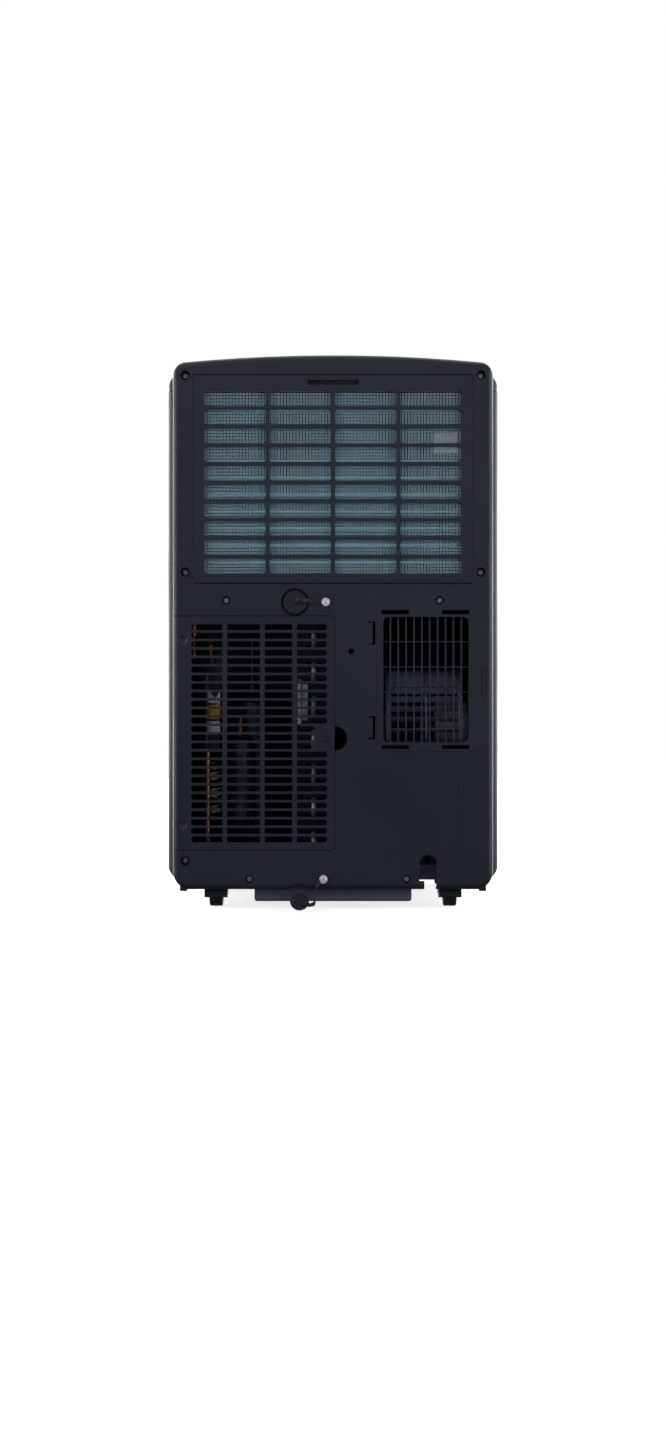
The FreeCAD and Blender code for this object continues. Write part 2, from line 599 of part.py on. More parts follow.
def hinge_bosses():
    """The lugs behind the upper door's lower corners that its pivots turn in."""
    y, z = UPPER_HINGE
    start = UPPER_DOOR_X + DOOR_GAP
    return [box(side * start, side * (start + DOOR_PIN_L + 1), y - 4, y, z - 3, z + 3) for side in (-1, 1)]


def hinge_bores():
    """The bores of both doors' pivots."""
    y, z = UPPER_HINGE
    x_low, y_low = LOWER_HINGE
    reach, bore = UPPER_DOOR_X + DOOR_GAP + DOOR_PIN_L, DOOR_PIN_R + PIN_FIT
    low, high = LOWER_DOOR_Z0 - DOOR_GAP - DOOR_PIN_L, LOWER_DOOR_Z1 + DOOR_GAP + DOOR_PIN_L
    return [rod(-reach, y, z, bore, 2 * reach, X_AXIS), rod(x_low, y_low, low, bore, high - low, Z_AXIS)]


def shell_feet():
    """The small rounded rests under the shell's two rear corners."""
    feet, y1, z0 = [], REAR_Y - SHELL_EDGE_R, GROUND - FOOT_H
    for side in (-1, 1):
        x = side * (SHELL_HALF - FOOT_INSET)
        foot = box(x - FOOT_W / 2, x + FOOT_W / 2, y1 - FOOT_L, y1, z0, GROUND + SHELL_BOTTOM_R)
        low = [e for e in foot.Edges if e.BoundBox.ZMax < z0 + EPS]
        feet.append(foot.makeFillet(FOOT_H / 2, low).cut(REAR_INNER))
    return feet


def dimples():
    """Cutters of the shallow dishes near the lower door's top and bottom."""
    ball_r = (DIMPLE_R**2 + DIMPLE_DEPTH**2) / (2 * DIMPLE_DEPTH)
    x, y = SHELL_HALF - DIMPLE_INSET, REAR_Y - DIMPLE_DEPTH + ball_r
    return [Part.makeSphere(ball_r, V(x, y, z)) for z in (LOWER_DOOR_Z0 + 31.5, LOWER_DOOR_Z1 - 30.0)]


def finger_notch():
    """The half-round finger hole beside the lower door, as a cutter."""
    centre_x = LOWER_DOOR_X0 - DOOR_GAP
    full = rod(centre_x, INNER_REAR_Y - EPS, LOWER_DOOR_MID_Z, NOTCH_R, WALL + 2 * EPS, Y_AXIS)
    return full.common(box(centre_x - 2 * NOTCH_R, centre_x, 0, REAR_Y + 9, 0, HEIGHT))


def rear_shell():
    """The dark back moulding with every window, recess, boss and ledge in it."""
    shell = REAR_OUTER.cut(REAR_INNER)
    adds, cuts = [exhaust_pad()] + hinge_bosses(), hinge_bores()
    for x, z, radius, depth in well_screw_places():
        boss, recess = screw_well(x, z, radius, depth)
        adds.append(boss)
        cuts.append(recess)
    x, z0, z1, rim = UPPER_DOOR_X, UPPER_DOOR_Z0, UPPER_DOOR_Z1, 4.0
    adds.append(ledge((-x - rim, x + rim, z0 - rim, z1 + rim), (-x + 7, x - 7, z0 + 6, z1 - 6)))
    cuts.append(upper_door_zone(DOOR_GAP, REAR_Y - DOOR_T - LEDGE_GAP, REAR_Y + 5))
    cuts.append(lower_door_zone(DOOR_GAP, REAR_Y - LOWER_DOOR_RETURN))
    adds.append(drain_recess(2.0, REAR_Y - 12.0, INNER_REAR_Y + 0.5))
    cuts.append(drain_recess(0.0, REAR_Y - 10.0, REAR_Y + 5))
    cuts.append(rod(UPPER_DRAIN_X, REAR_Y - 20, UPPER_DRAIN_Z, SPOUT_R + CAP_FIT, 30, Y_AXIS))
    cuts.append(finger_notch())
    cuts.append(exhaust_window(0.0, INNER_REAR_Y - EPS, REAR_Y + 5))
    cuts += hook_slots()
    cuts.append(rod(SPARE_HOLE[0], INNER_REAR_Y - EPS, SPARE_HOLE[1], SPARE_HOLE_R, 10, Y_AXIS))
    cuts.append(cord_arch(0.0, INNER_REAR_Y - EPS, REAR_Y + 5))
    cuts.append(box(-114.6, -129.5, SHELL_FRONT_Y - 5, REAR_Y + 5, 0, 38.0))
    cuts.append(sump_arch(0.0, TRAY_REAR_Y - 20, REAR_Y + 5))
    cuts.append(box(-157.2, -156.4, REAR_Y - 0.5, REAR_Y + 5, GROUND, 180.0))
    cuts.append(open_underside(SHELL_HALF, SHELL_FRONT_Y - 30, INNER_REAR_Y - BOTTOM_LIP))
    cuts.append(control_panel_zone(SEAM).common(box(-WIDTH, WIDTH, 0, PANEL_REAR_Y + SEAM, 0, HEIGHT + 10)))
    for x, z in (UPPER_STRAP_SCREW, LOWER_STRAP_SCREW):
        cuts.append(rod(x, INNER_REAR_Y - 5, z, SCREW_R + 0.15, 15, Y_AXIS))
    shell = joined([shell] + adds)
    rib_x, rib_z, low_y = EXHAUST_X1 - 18.6, EXHAUST_Z0 + 62, INNER_REAR_Y + PAD_OVERLAP
    rib = box(rib_x, rib_x + RIB_W, low_y, REAR_Y + PAD_RISE + 0.8, rib_z, rib_z + RIB_H)
    shell = joined([shell.cut(cuts), rib] + shell_feet())
    return max(shell.Solids, key=lambda s: s.Volume)


# ---------------------------------------------------------------- doors
def spread(start, end, count, gap):
    """The (low, high) ends of count equal windows between start and end."""
    size = (end - start - gap * (count - 1)) / count
    return [(start + i * (size + gap), start + i * (size + gap) + size) for i in range(count)]


def upper_filter_door():
    """The removable grille over the upper intake, with a pull tab at its top."""
    door = upper_door_zone(0.0, REAR_Y - DOOR_T, REAR_Y)
    front = [e for e in door.Edges if e.BoundBox.YMin > REAR_Y - 0.01]
    door = door.makeFillet(0.8, front)
    x, z0, z1 = UPPER_DOOR_X, UPPER_DOOR_Z0, UPPER_DOOR_Z1
    rim = box(-x + 8, x - 8, REAR_Y - DOOR_T - 5, REAR_Y - DOOR_T + 0.5, z0 + 7, z1 - 7)
    rim = rim.cut(box(-x + 10, x - 10, 0, REAR_Y + 5, z0 + 9, z1 - 9))
    windows = []
    for a, b in spread(-x + UPPER_SIDE_BORDER, x - UPPER_SIDE_BORDER, UPPER_COLUMNS, UPPER_RIB):
        for c, d in spread(z0 + UPPER_BOTTOM_BORDER, z1 - UPPER_TOP_BORDER, UPPER_ROWS, UPPER_BAR):
            windows.append(rounded_box(a, b, REAR_Y - DOOR_T - 1, REAR_Y + 1, c, d, UPPER_WINDOW_R, Y_AXIS))
    tab_z, wide = z1 - TAB_DROP, TAB_HALF_X + 2
    slot_y, slot_z = REAR_Y - TAB_DEPTH, tab_z - TAB_H
    slot = rounded_box(-TAB_HALF_X, TAB_HALF_X, slot_y, REAR_Y + 1, slot_z, tab_z, 1.5, Y_AXIS)
    lip = rounded_box(-wide, wide, REAR_Y - PAD_OVERLAP, REAR_Y + 1.6, tab_z, tab_z + 2.2, 0.9, Y_AXIS)
    y, z = UPPER_HINGE
    pins = [rod(start, y, z, DOOR_PIN_R, DOOR_PIN_L + 1, X_AXIS) for start in (x - 1, -x - DOOR_PIN_L)]
    return joined([door.cut(windows + [slot]), rim, lip] + pins)


def upper_filter_mesh():
    """The fine dust screen that lies behind the upper grille."""
    x, z0, z1 = UPPER_DOOR_X - 10, UPPER_DOOR_Z0 + 9, UPPER_DOOR_Z1 - TAB_DROP - TAB_H - 2
    y = REAR_Y - DOOR_T - 1.2
    return box(-x, x, y - FILTER_T, y, z0, z1)


def slot_columns():
    """The (low, high) x of each column of slots, from the middle outwards."""
    x0, x1 = LOWER_DOOR_X0 + 9.3, SHELL_HALF - SLOT_SIDE_BORDER + 0.5
    marks = [x0 + share * (x1 - x0) for share in SLOT_SPLITS]
    half = SLOT_RIB / 2
    return [
        (a + (half if i else 0), b - (half if i < len(marks) - 2 else 0))
        for i, (a, b) in enumerate(zip(marks, marks[1:]))
    ]


def lower_filter_door():
    """The slotted door over the lower intake; its left edge wraps round the shell's corner."""
    skin = REAR_OUTER.cut(REAR_INNER)
    door = skin.common(lower_door_zone(0.0, REAR_Y - LOWER_DOOR_RETURN))
    low_z, high_z = LOWER_DOOR_Z0 + SLOT_BOTTOM_BORDER, LOWER_DOOR_Z1 - SLOT_TOP_BORDER
    rows = spread(low_z, high_z, SLOT_ROWS, (high_z - low_z - SLOT_ROWS * SLOT_H) / (SLOT_ROWS - 1))
    columns = slot_columns()
    boss_x = LOWER_DOOR_X0 + 11.3
    cutters = []
    for low, high in rows:
        for i, (a, b) in enumerate(columns):
            near_boss = i == 0 and abs(0.5 * (low + high) - LOWER_DOOR_MID_Z) < BOSS_KEEP
            start = a + BOSS_KEEP + 1.5 if near_boss else a
            slot = box(start, b, INNER_REAR_Y - 1, REAR_Y + 1, low, high)
            ends = [start] * (i == 0) + [b] * (i == len(columns) - 1)
            level = [e for e in slot.Edges if e.BoundBox.YLength > WALL]
            edges = [e for e in level if any(abs(e.BoundBox.Center.x - x) < 0.1 for x in ends)]
            cutters.append(slot.makeFillet((high - low) * 0.49, edges) if edges else slot)
    door = door.cut(cutters)
    boss = rod(boss_x, INNER_REAR_Y - 2.0, LOWER_DOOR_MID_Z, BOSS_R, WALL + 2.8, Y_AXIS)
    recess = rod(boss_x, REAR_Y - 1.2, LOWER_DOOR_MID_Z, SCREW_HEAD_R + 0.6, 5, Y_AXIS)
    hole = rod(boss_x, INNER_REAR_Y - 5, LOWER_DOOR_MID_Z, SCREW_R + 0.15, 20, Y_AXIS)
    x, y = LOWER_HINGE
    starts = (LOWER_DOOR_Z0 - DOOR_PIN_L, LOWER_DOOR_Z1 - 1)
    pins = [rod(x, y, z, DOOR_PIN_R, DOOR_PIN_L + 1, Z_AXIS) for z in starts]
    whole = joined([door, boss] + pins).cut([recess, hole] + dimples())
    return max(whole.Solids, key=lambda s: s.Volume)


# ---------------------------------------------------------------- fasteners
def pan_screw(x, y, z, washer=False):
    """A pan-head screw driven into the back; y is where its head sits."""
    head = rod(x, y, z, SCREW_HEAD_R, SCREW_HEAD_H, Y_AXIS)
    head = head.makeFillet(0.9, [e for e in head.Edges if e.BoundBox.YMin > y + SCREW_HEAD_H - 0.01])
    cross = [
        box(x - across, x + across, y + CROSS_FLOOR, y + 5, z - up, z + up)
        for across, up in ((CROSS_R, CROSS_HALF), (CROSS_HALF, CROSS_R))
    ]
    parts = [head.cut(cross), rod(x, y - SCREW_L + 2, z, SCREW_R, SCREW_L - 1.5, Y_AXIS)]
    if washer:
        parts.append(rod(x, y, z, WASHER_R, 0.8, Y_AXIS))
    return joined(parts)


def shell_screws():
    """The sunk screws of the rear shell."""
    return group([pan_screw(x, REAR_Y - depth + 0.05, z) for x, z, _, depth in well_screw_places()])


def strap_screws():
    """The two bright washer-head screws that hold the drain plugs' straps."""
    y = STRAP_Y + STRAP_T + 0.05
    return group([pan_screw(x, y, z, True) for x, z in (UPPER_STRAP_SCREW, LOWER_STRAP_SCREW)])


def door_screw():
    """The screw that locks the lower door."""
    return pan_screw(LOWER_DOOR_X0 + 11.3, REAR_Y - 1.15, LOWER_DOOR_MID_Z)


# ---------------------------------------------------------------- exhaust outlet and cord inlet
def exhaust_guard():
    """The finger guard behind the exhaust window."""
    y0, y1 = INNER_REAR_Y - GUARD_T, INNER_REAR_Y
    plate = exhaust_window(3.0, y0, y1)
    cells = []
    for a, b in spread(EXHAUST_X1, EXHAUST_X0, EXHAUST_COLUMNS, EXHAUST_BAR):
        for c, d in spread(EXHAUST_Z0, EXHAUST_Z1, EXHAUST_ROWS, EXHAUST_CROSSBAR):
            cells.append(box(a, b, y0 - 1, y1 + 1, c, d))
    corner_safe = exhaust_window(0.0, y0 - 2, y1 + 2)
    return plate.cut([cell.common(corner_safe) for cell in cells])


def cord_inlet():
    """The stepped plate inside the cord's arch, with the hole that the supply cord passes."""
    y1 = INNER_REAR_Y - 0.2
    cup = cord_arch(2.0, y1 - 20, y1).cut(cord_arch(0.0, y1 - 18, y1 + 1))
    cup = cup.cut(box(-140, -100, y1 - 30, y1 + 5, 0, 38.0))
    x0, x1 = -108.6, -129.8
    steps = [box(x0, x1, y1 - 18, y1 - 6, 46.6, 56.5), box(x0, x1, y1 - 18, y1 - 3, 38.0, 46.6)]
    hole = rod(-119.2, y1 - 30, 61.5, 4.5, 20, Y_AXIS)
    return joined([cup] + steps).cut(hole)


# ---------------------------------------------------------------- drains
def drain_spouts():
    """The two drain spouts: one from the deck between the compartments, one from the sump."""
    upper = tube(UPPER_DRAIN_X, REAR_Y - REAR_KEEP - 17, UPPER_DRAIN_Z, SPOUT_R, SPOUT_BORE, 26.4, Y_AXIS)
    reach = SUMP_PLUG_Y - TRAY_REAR_Y - 0.1
    lower = tube(LOWER_DRAIN_X, TRAY_REAR_Y, LOWER_DRAIN_Z, SPOUT_R - 1.5, SPOUT_BORE - 1.5, reach, Y_AXIS)
    return group([upper, lower])


def drain_plug(x, z, y_cap, cap_r, spout_r, bore, reach):
    """A rubber plug: a cap over the spout's end, a skirt and a pintle on it, and a button for its strap."""
    cap = rod(x, y_cap, z, cap_r, PLUG_CAP_T, Y_AXIS)
    cap = cap.makeFillet(1.6, [e for e in cap.Edges if e.BoundBox.YMin > y_cap + PLUG_CAP_T - 0.1])
    skirt = tube(x, y_cap - reach, z, spout_r + CAP_FIT + 2.0, spout_r + CAP_FIT, reach + 0.5, Y_AXIS)
    pintle = rod(x, y_cap - reach, z, bore - CAP_FIT, reach + 0.5, Y_AXIS)
    button = rod(x, y_cap + PLUG_CAP_T - 0.5, z, 3.2, PLUG_BUTTON_T + 0.5, Y_AXIS)
    return joined([cap, skirt, pintle, button])


def upper_drain_plug():
    """The plug of the upper drain, in its round recess."""
    return drain_plug(UPPER_DRAIN_X, UPPER_DRAIN_Z, REAR_Y - 3.5, UPPER_CAP_R, SPOUT_R, SPOUT_BORE, 5.0)


def lower_drain_plug():
    """The plug of the sump's drain, which stands out behind the casing."""
    spout, bore = SPOUT_R - 1.5, SPOUT_BORE - 1.5
    return drain_plug(LOWER_DRAIN_X, LOWER_DRAIN_Z, SUMP_PLUG_Y, LOWER_CAP_R, spout, bore, 7.0)


def ribbon(points, thickness):
    """The outline of a strip along a path in the XY plane, its thickness to the left of the path."""
    left = []
    for before, here, after in zip([None] + points, points, points[1:] + [None]):
        runs = [(b - a).normalize() for a, b in ((before, here), (here, after)) if a and b]
        normals = [V(-run.y, run.x, 0) for run in runs]
        first, last = normals[0], normals[-1]
        offset = (first + last) / (1 + first.dot(last))
        left.append(here + offset * thickness)
    return Part.Face(Part.makePolygon(points + left[::-1] + [points[0]]))


def strap_eye(place):
    """The ring at a strap's fixed end, and the hole that its screw passes."""
    x, z = place
    eye = rod(x, STRAP_Y, z, WASHER_R - 0.2, STRAP_T, Y_AXIS)
    return eye, rod(x, 0, z, SCREW_R + 0.2, 2 * REAR_Y, Y_AXIS)


def upper_drain_strap():
    """A flat rubber strap from the upper plug's button, over the recess's rim, to an eye on the back."""
    x0, z0 = UPPER_DRAIN_X, UPPER_DRAIN_Z
    x1, lie, far = UPPER_STRAP_SCREW[0], STRAP_Y + STRAP_T, REAR_Y + 11.0
    y0 = REAR_Y - 3.5 + PLUG_CAP_T + PLUG_BUTTON_T + 0.05
    path = [(x0 + 0.8, y0), (x0 + 0.8, far), (x0 - 11, far), (x0 - 18, lie), (x1 - 10, lie)]
    face = ribbon([V(x, y, 0) for x, y in path], STRAP_T)
    face.translate(V(0, 0, z0 - STRAP_W / 2))
    eye, hole = strap_eye(UPPER_STRAP_SCREW)
    return joined([face.extrude(V(0, 0, STRAP_W)), eye]).cut(hole)


def lower_drain_strap():
    """The strap that keeps the sump's plug; it loops round and back up to its screw."""
    x1, z1 = LOWER_STRAP_SCREW
    y_plug, z0 = DEPTH_HALF - STRAP_T, LOWER_DRAIN_Z
    turn_x = x1 + 10.0
    path = [(LOWER_DRAIN_X, z0), (turn_x + 5, z0 - 4), (turn_x, z0 + 2), (turn_x, z1 - 5), (x1, z1)]
    bars = []
    for (xa, za), (xb, zb) in zip(path, path[1:]):
        length = math.hypot(xb - xa, zb - za)
        bar = Part.makeBox(length + STRAP_W / 2, STRAP_T, STRAP_W, V(0, 0, -STRAP_W / 2))
        bar.rotate(V(0, 0, 0), Y_AXIS, -math.degrees(math.atan2(zb - za, xb - xa)))
        bar.translate(V(xa, STRAP_Y if (xb, zb) == (x1, z1) else y_plug, za))
        bars.append(bar)
    low_z, high_z = z1 - 7, z1 - 5 + STRAP_T
    riser = box(turn_x - STRAP_W / 2, turn_x + STRAP_W / 2, STRAP_Y, y_plug + STRAP_T, low_z, high_z)
    eye, hole = strap_eye(LOWER_STRAP_SCREW)
    return joined(bars + [riser, eye]).cut(hole)


# ---------------------------------------------------------------- air outlet
def duct_space(grow, z0, z1):
    """The inside of the outlet duct, grown and run between two heights."""
    half = OUTLET_HALF_X + DUCT_MARGIN + grow
    y0, y1 = OUTLET_Y0 - DUCT_MARGIN - grow, OUTLET_Y1 + DUCT_REAR_MARGIN + grow
    return box(-half, half, y0, y1, z0, z1)


def pin_z():
    """Height of the flap's pins, which turn in the duct's sides."""
    return HEIGHT - crown_drop(OUTLET_HALF_X + DUCT_MARGIN + DUCT_WALL) - WALL - FLAP_PIN_DROP


def vane_z():
    """Height of the vanes' pins."""
    return pin_z() - 21.0


def vane_places():
    """x of each vane."""
    return [(i - (VANES - 1) / 2) * VANE_STEP for i in range(VANES)]


def outlet_duct():
    """The dark duct under the outlet, with the bearings of the flap and of the vanes."""
    z0 = HEIGHT - OUTLET_DEPTH
    block = duct_space(DUCT_WALL, z0, HEIGHT).common(under_crown(HALF_W, FRONT_Y, REAR_Y, 0, WALL))
    duct = block.cut(duct_space(0.0, z0 - EPS, HEIGHT + EPS))
    bores = [rod(-WIDTH, PIN_Y, pin_z(), FLAP_PIN_R + PIN_FIT, 2 * WIDTH, X_AXIS)]
    for x in vane_places():
        bores.append(rod(x, FRONT_Y, vane_z(), VANE_PIN_R + PIN_FIT, 2 * DEPTH_HALF, Y_AXIS))
    return duct.cut(bores)


def louver_flap():
    """The flap over the outlet: it follows the crown and turns on two pins near its rear edge."""
    half = OUTLET_HALF_X - OUTLET_GAP
    y0, y1 = OUTLET_Y0 + OUTLET_GAP, OUTLET_Y1 - OUTLET_GAP
    sheet = under_crown(HALF_W, FRONT_Y, REAR_Y, 0)
    sheet = sheet.cut(under_crown(HALF_W, FRONT_Y - 5, REAR_Y + 5, -5, FLAP_T))
    outline = rounded_box(-half, half, y0, y1, 0, HEIGHT + 10, 3.0, Z_AXIS)
    pieces = [sheet.common(outline)]
    for x in (-half / 2, 0.0, half / 2):
        z_top = HEIGHT - crown_drop(x) - FLAP_T + 0.5
        pieces.append(box(x - 1, x + 1, y0 + 6, PIN_Y + 2, z_top - 5, z_top))
    for side in (-1, 1):
        top = HEIGHT - crown_drop(half) - 0.5
        ear = box(side * (half - 3.5), side * half, PIN_Y - 4, PIN_Y + 4, pin_z(), top)
        ear_foot = rod(side * (half - 3.5) if side > 0 else -half, PIN_Y, pin_z(), 4.0, 3.5, X_AXIS)
        start = half - 1 if side > 0 else -(OUTLET_HALF_X + DUCT_MARGIN + DUCT_WALL - 0.3)
        length = OUTLET_HALF_X + DUCT_MARGIN + DUCT_WALL - 0.3 - (half - 1)
        pieces += [ear, ear_foot, rod(start, PIN_Y, pin_z(), FLAP_PIN_R, length, X_AXIS)]
    return joined(pieces)


def vane(x):
    """One upright vane: it turns about a pin along Y and its front edge carries the link's pin."""
    y0 = OUTLET_Y0 - DUCT_MARGIN + VANE_END_GAP
    y1 = OUTLET_Y1 + DUCT_REAR_MARGIN - VANE_TAIL_GAP
    z = vane_z()
    blade = rounded_box(x - VANE_T / 2, x + VANE_T / 2, y0, y1, z - VANE_BELOW, z + VANE_ABOVE, 6.0, X_AXIS)
    front, back = OUTLET_Y0 - DUCT_MARGIN - DUCT_WALL + 0.3, OUTLET_Y1 + DUCT_REAR_MARGIN + DUCT_WALL - 0.3
    pin = rod(x, front, z, VANE_PIN_R, back - front, Y_AXIS)
    collar = rod(x, y0, z, 2.6, y1 - y0, Y_AXIS)
    link_pin = rod(x, y0 - LINK_T - 1.5, z - LINK_DROP, VANE_PIN_R, LINK_T + 3.5, Y_AXIS)
    seat = rod(x, y0 - 0.5, z - LINK_DROP, 2.6, 4.0, Y_AXIS)
    return joined([blade, pin, collar, link_pin, seat])


def vane_link():
    """The bar that makes the vanes turn together."""
    y0 = OUTLET_Y0 - DUCT_MARGIN + VANE_END_GAP - 0.8 - LINK_T
    z = vane_z() - LINK_DROP
    ends = VANE_STEP * (VANES - 1) / 2 + 5
    bar = rounded_box(-ends, ends, y0, y0 + LINK_T, z - LINK_H / 2, z + LINK_H / 2, 2.5, Y_AXIS)
    bore = VANE_PIN_R + PIN_FIT
    return bar.cut([rod(x, y0 - EPS, z, bore, LINK_T + 2 * EPS, Y_AXIS) for x in vane_places()])


def louver_motor():
    """The small geared motor at the flap's left pin."""
    wall = -(OUTLET_HALF_X + DUCT_MARGIN + DUCT_WALL)
    gearbox = rounded_box(wall - 5, wall, PIN_Y - 12, PIN_Y + 12, pin_z() - 32, pin_z() + 3.0, 5.0, X_AXIS)
    return joined([gearbox, rod(wall - 20, PIN_Y, pin_z() - 19, 11.0, 16, X_AXIS)])


# ---------------------------------------------------------------- casters
def caster_fork(cx, cy):
    """A swivelling caster's stem, hood, cheeks and axle."""
    ay, az, half = cy + CASTER_TRAIL, WHEEL_R, WHEEL_W / 2 + FORK_CLEAR
    hood = rod(cx - half - FORK_T, ay, az, HOOD_R, 2 * (half + FORK_T), X_AXIS)
    hood = hood.cut(box(cx - 50, cx + 50, ay - 50, ay + 50, -10, HOOD_LOW_Z))
    disc = rod(cx, cy, az + WHEEL_R - 2.0, 13.0, SOCKET_Z - 0.3 - az - WHEEL_R + 2.0, Z_AXIS)
    stem = rod(cx, cy, SOCKET_Z - 2, STEM_R, 15.0, Z_AXIS)
    bosses = [rod(x, ay, az, 2 * AXLE_R, FORK_T, X_AXIS) for x in (cx - half - FORK_T, cx + half)]
    wheel_room = rod(cx - half, ay, az, WHEEL_R + 0.9, 2 * half, X_AXIS)
    fork = joined([hood, disc] + bosses).cut(wheel_room)
    return joined([fork, stem, rod(cx - half - 1, ay, az, AXLE_R, 2 * half + 2, X_AXIS)])


def caster_wheel(cx, cy):
    """A caster's wheel, dished on both faces."""
    ay, az, half = cy + CASTER_TRAIL, WHEEL_R, WHEEL_W / 2
    wheel = rod(cx - half, ay, az, WHEEL_R, WHEEL_W, X_AXIS)
    wheel = wheel.makeFillet(2.5, [e for e in wheel.Edges if e.BoundBox.XLength < 0.1])
    dishes = [tube(x, ay, az, 11.0, 2 * AXLE_R, 3.0, X_AXIS) for x in (cx - half - 1, cx + half - 2)]
    return wheel.cut(dishes + [rod(cx - half - 1, ay, az, AXLE_R + PIN_FIT, WHEEL_W + 2, X_AXIS)])


def caster_places():
    """Short name and middle of each caster's stem."""
    return {
        "rear_left": (-CASTER_X, CASTER_REAR_Y),
        "rear_right": (CASTER_X, CASTER_REAR_Y),
        "front_left": (-CASTER_X, CASTER_FRONT_Y),
        "front_right": (CASTER_X, CASTER_FRONT_Y),
    }


def caster_sockets():
    """The four sockets under the base pan that the casters' stems turn in."""
    sockets = []
    for x, y in caster_places().values():
        flange = rod(x, y, FLOOR_Z - 3, SOCKET_R + 4, 3.0, Z_AXIS)
        body = joined([rod(x, y, SOCKET_Z, SOCKET_R, SOCKET_TOP - SOCKET_Z, Z_AXIS), flange])
        sockets.append(body.cut(rod(x, y, SOCKET_Z - EPS, STEM_R + PIN_FIT, 15.0 + EPS, Z_AXIS)))
    return group(sockets)


# ---------------------------------------------------------------- base, sump and deck
def level_sheet(z0, z1):
    """A level sheet that fills the casing's inside between two heights, short of the back."""
    front = FRONT_INNER.common(box(-WIDTH, WIDTH, FRONT_Y, SHELL_FRONT_Y - SEAM, z0, z1))
    half = SHELL_HALF - WALL - SEAM
    back = box(-half, half, SHELL_FRONT_Y - SEAM, REAR_Y - REAR_KEEP, z0, z1)
    return joined([front, back])


def base_pan():
    """The floor of the casing, which carries the compressor, the condenser and the caster sockets."""
    pan = level_sheet(FLOOR_Z, FLOOR_Z + PAN_T)
    cuts = [rod(x, y, 0, SOCKET_R, HEIGHT, Z_AXIS) for x, y in caster_places().values()]
    cuts.append(box(-136, -102, REAR_Y - 24, REAR_Y, 0, HEIGHT))
    for x in (-60, -20, 20, 60):
        cuts.append(rod(x, 0.5 * (TRAY_FRONT_Y + TRAY_REAR_Y), 0, 6.0, HEIGHT, Z_AXIS))
    return pan.cut(cuts)


def drip_tray():
    """The sump that hangs under the base pan and feeds the lower drain."""
    x, y0, y1, z0 = TRAY_HALF_X, TRAY_FRONT_Y, TRAY_REAR_Y, TRAY_BOTTOM_Z
    block = box(-x, x, y0, y1, z0, FLOOR_Z)
    block = block.makeFillet(4.0, [e for e in block.Edges if e.BoundBox.ZMax < z0 + EPS])
    boss = rod(LOWER_DRAIN_X, y1 - 8, LOWER_DRAIN_Z, SPOUT_R, 8, Y_AXIS)
    w = TRAY_WALL
    hollow = box(-x + w, x - w, y0 + w, y1 - w, z0 + w, FLOOR_Z + EPS)
    cuts = [hollow, rod(LOWER_DRAIN_X, y1 - 20, LOWER_DRAIN_Z, SPOUT_BORE - 1.5, 40, Y_AXIS)]
    cuts += [box(14.4, 24.0, y1 - 1.2, y1 + EPS, 20.5, 24.4), box(-0.5, 12.0, y1 - 1.2, y1 + EPS, 20.5, 24.4)]
    return joined([block, boss]).cut(cuts)


def deck_tray():
    """The tray between the compartments; it leads the evaporator's water to the upper drain."""
    x, y0, y1 = EVAPORATOR_HALF_X + 16, EVAPORATOR_Y0 - 10, REAR_Y - REAR_KEEP
    sheet = level_sheet(DECK_Z, DECK_Z + 3)
    rim = box(-x - 2, x + 2, y0 - 2, y1, DECK_Z + 2, DECK_Z + 9).cut(box(-x, x, y0, y1 - 2, DECK_Z, HEIGHT))
    half, drop = SPOUT_R + 5, DECK_Z - UPPER_DRAIN_Z + SPOUT_R + 4
    well = box(UPPER_DRAIN_X - half, UPPER_DRAIN_X + half, y1 - 42, y1 - 17, DECK_Z - drop, DECK_Z + 1)
    x, inner = UPPER_DRAIN_X, half - 2
    room = box(x - inner, x + inner, y1 - 40, y1 - 19, DECK_Z - drop + 2, HEIGHT)
    cuts = [room, rod(UPPER_DRAIN_X, y1 - 30, UPPER_DRAIN_Z, SPOUT_BORE, 40, Y_AXIS)]
    cuts += [rod(px, py, 0, PIPE_R + 1.5, HEIGHT, Z_AXIS) for px, py in (SUCTION_XY, LIQUID_XY)]
    return joined([sheet, rim, well]).cut(cuts)


# ---------------------------------------------------------------- refrigeration
def compressor():
    """The welded compressor shell with its domed ends and its base plate."""
    x, y, r = COMPRESSOR_X, COMPRESSOR_Y, COMPRESSOR_R
    z0 = FLOOR_Z + PAN_T + MOUNT_H
    can = rod(x, y, z0 + 3, r, COMPRESSOR_H, Z_AXIS)
    can = can.makeFillet(22.0, [e for e in can.Edges if e.BoundBox.ZMin > z0 + COMPRESSOR_H])
    band = rod(x, y, z0 + 0.72 * COMPRESSOR_H, r + 1.2, 9.0, Z_AXIS)
    plate = rod(x, y, z0, r + 20, 3.5, Z_AXIS)
    sides = []
    for k in range(3):
        side = box(x - 100, x + 100, y - r - 60, y - r - 2, z0 - EPS, z0 + 5)
        side.rotate(V(x, y, 0), Z_AXIS, 120 * k)
        sides.append(side)
    plate = plate.cut(sides)
    studs = [rod(*spot, z0 - EPS, 4.2, 10, Z_AXIS) for spot in mount_places()]
    top = rod(x, y, z0 + COMPRESSOR_H, 14.0, 12.0, Z_AXIS)
    return joined([can, band, plate, top]).cut(studs)


def mount_places():
    """Middles of the compressor's three rubber mounts."""
    r = COMPRESSOR_R + 11
    turns = [math.radians(90 + 120 * k) for k in range(3)]
    return [(COMPRESSOR_X + r * math.cos(t), COMPRESSOR_Y + r * math.sin(t)) for t in turns]


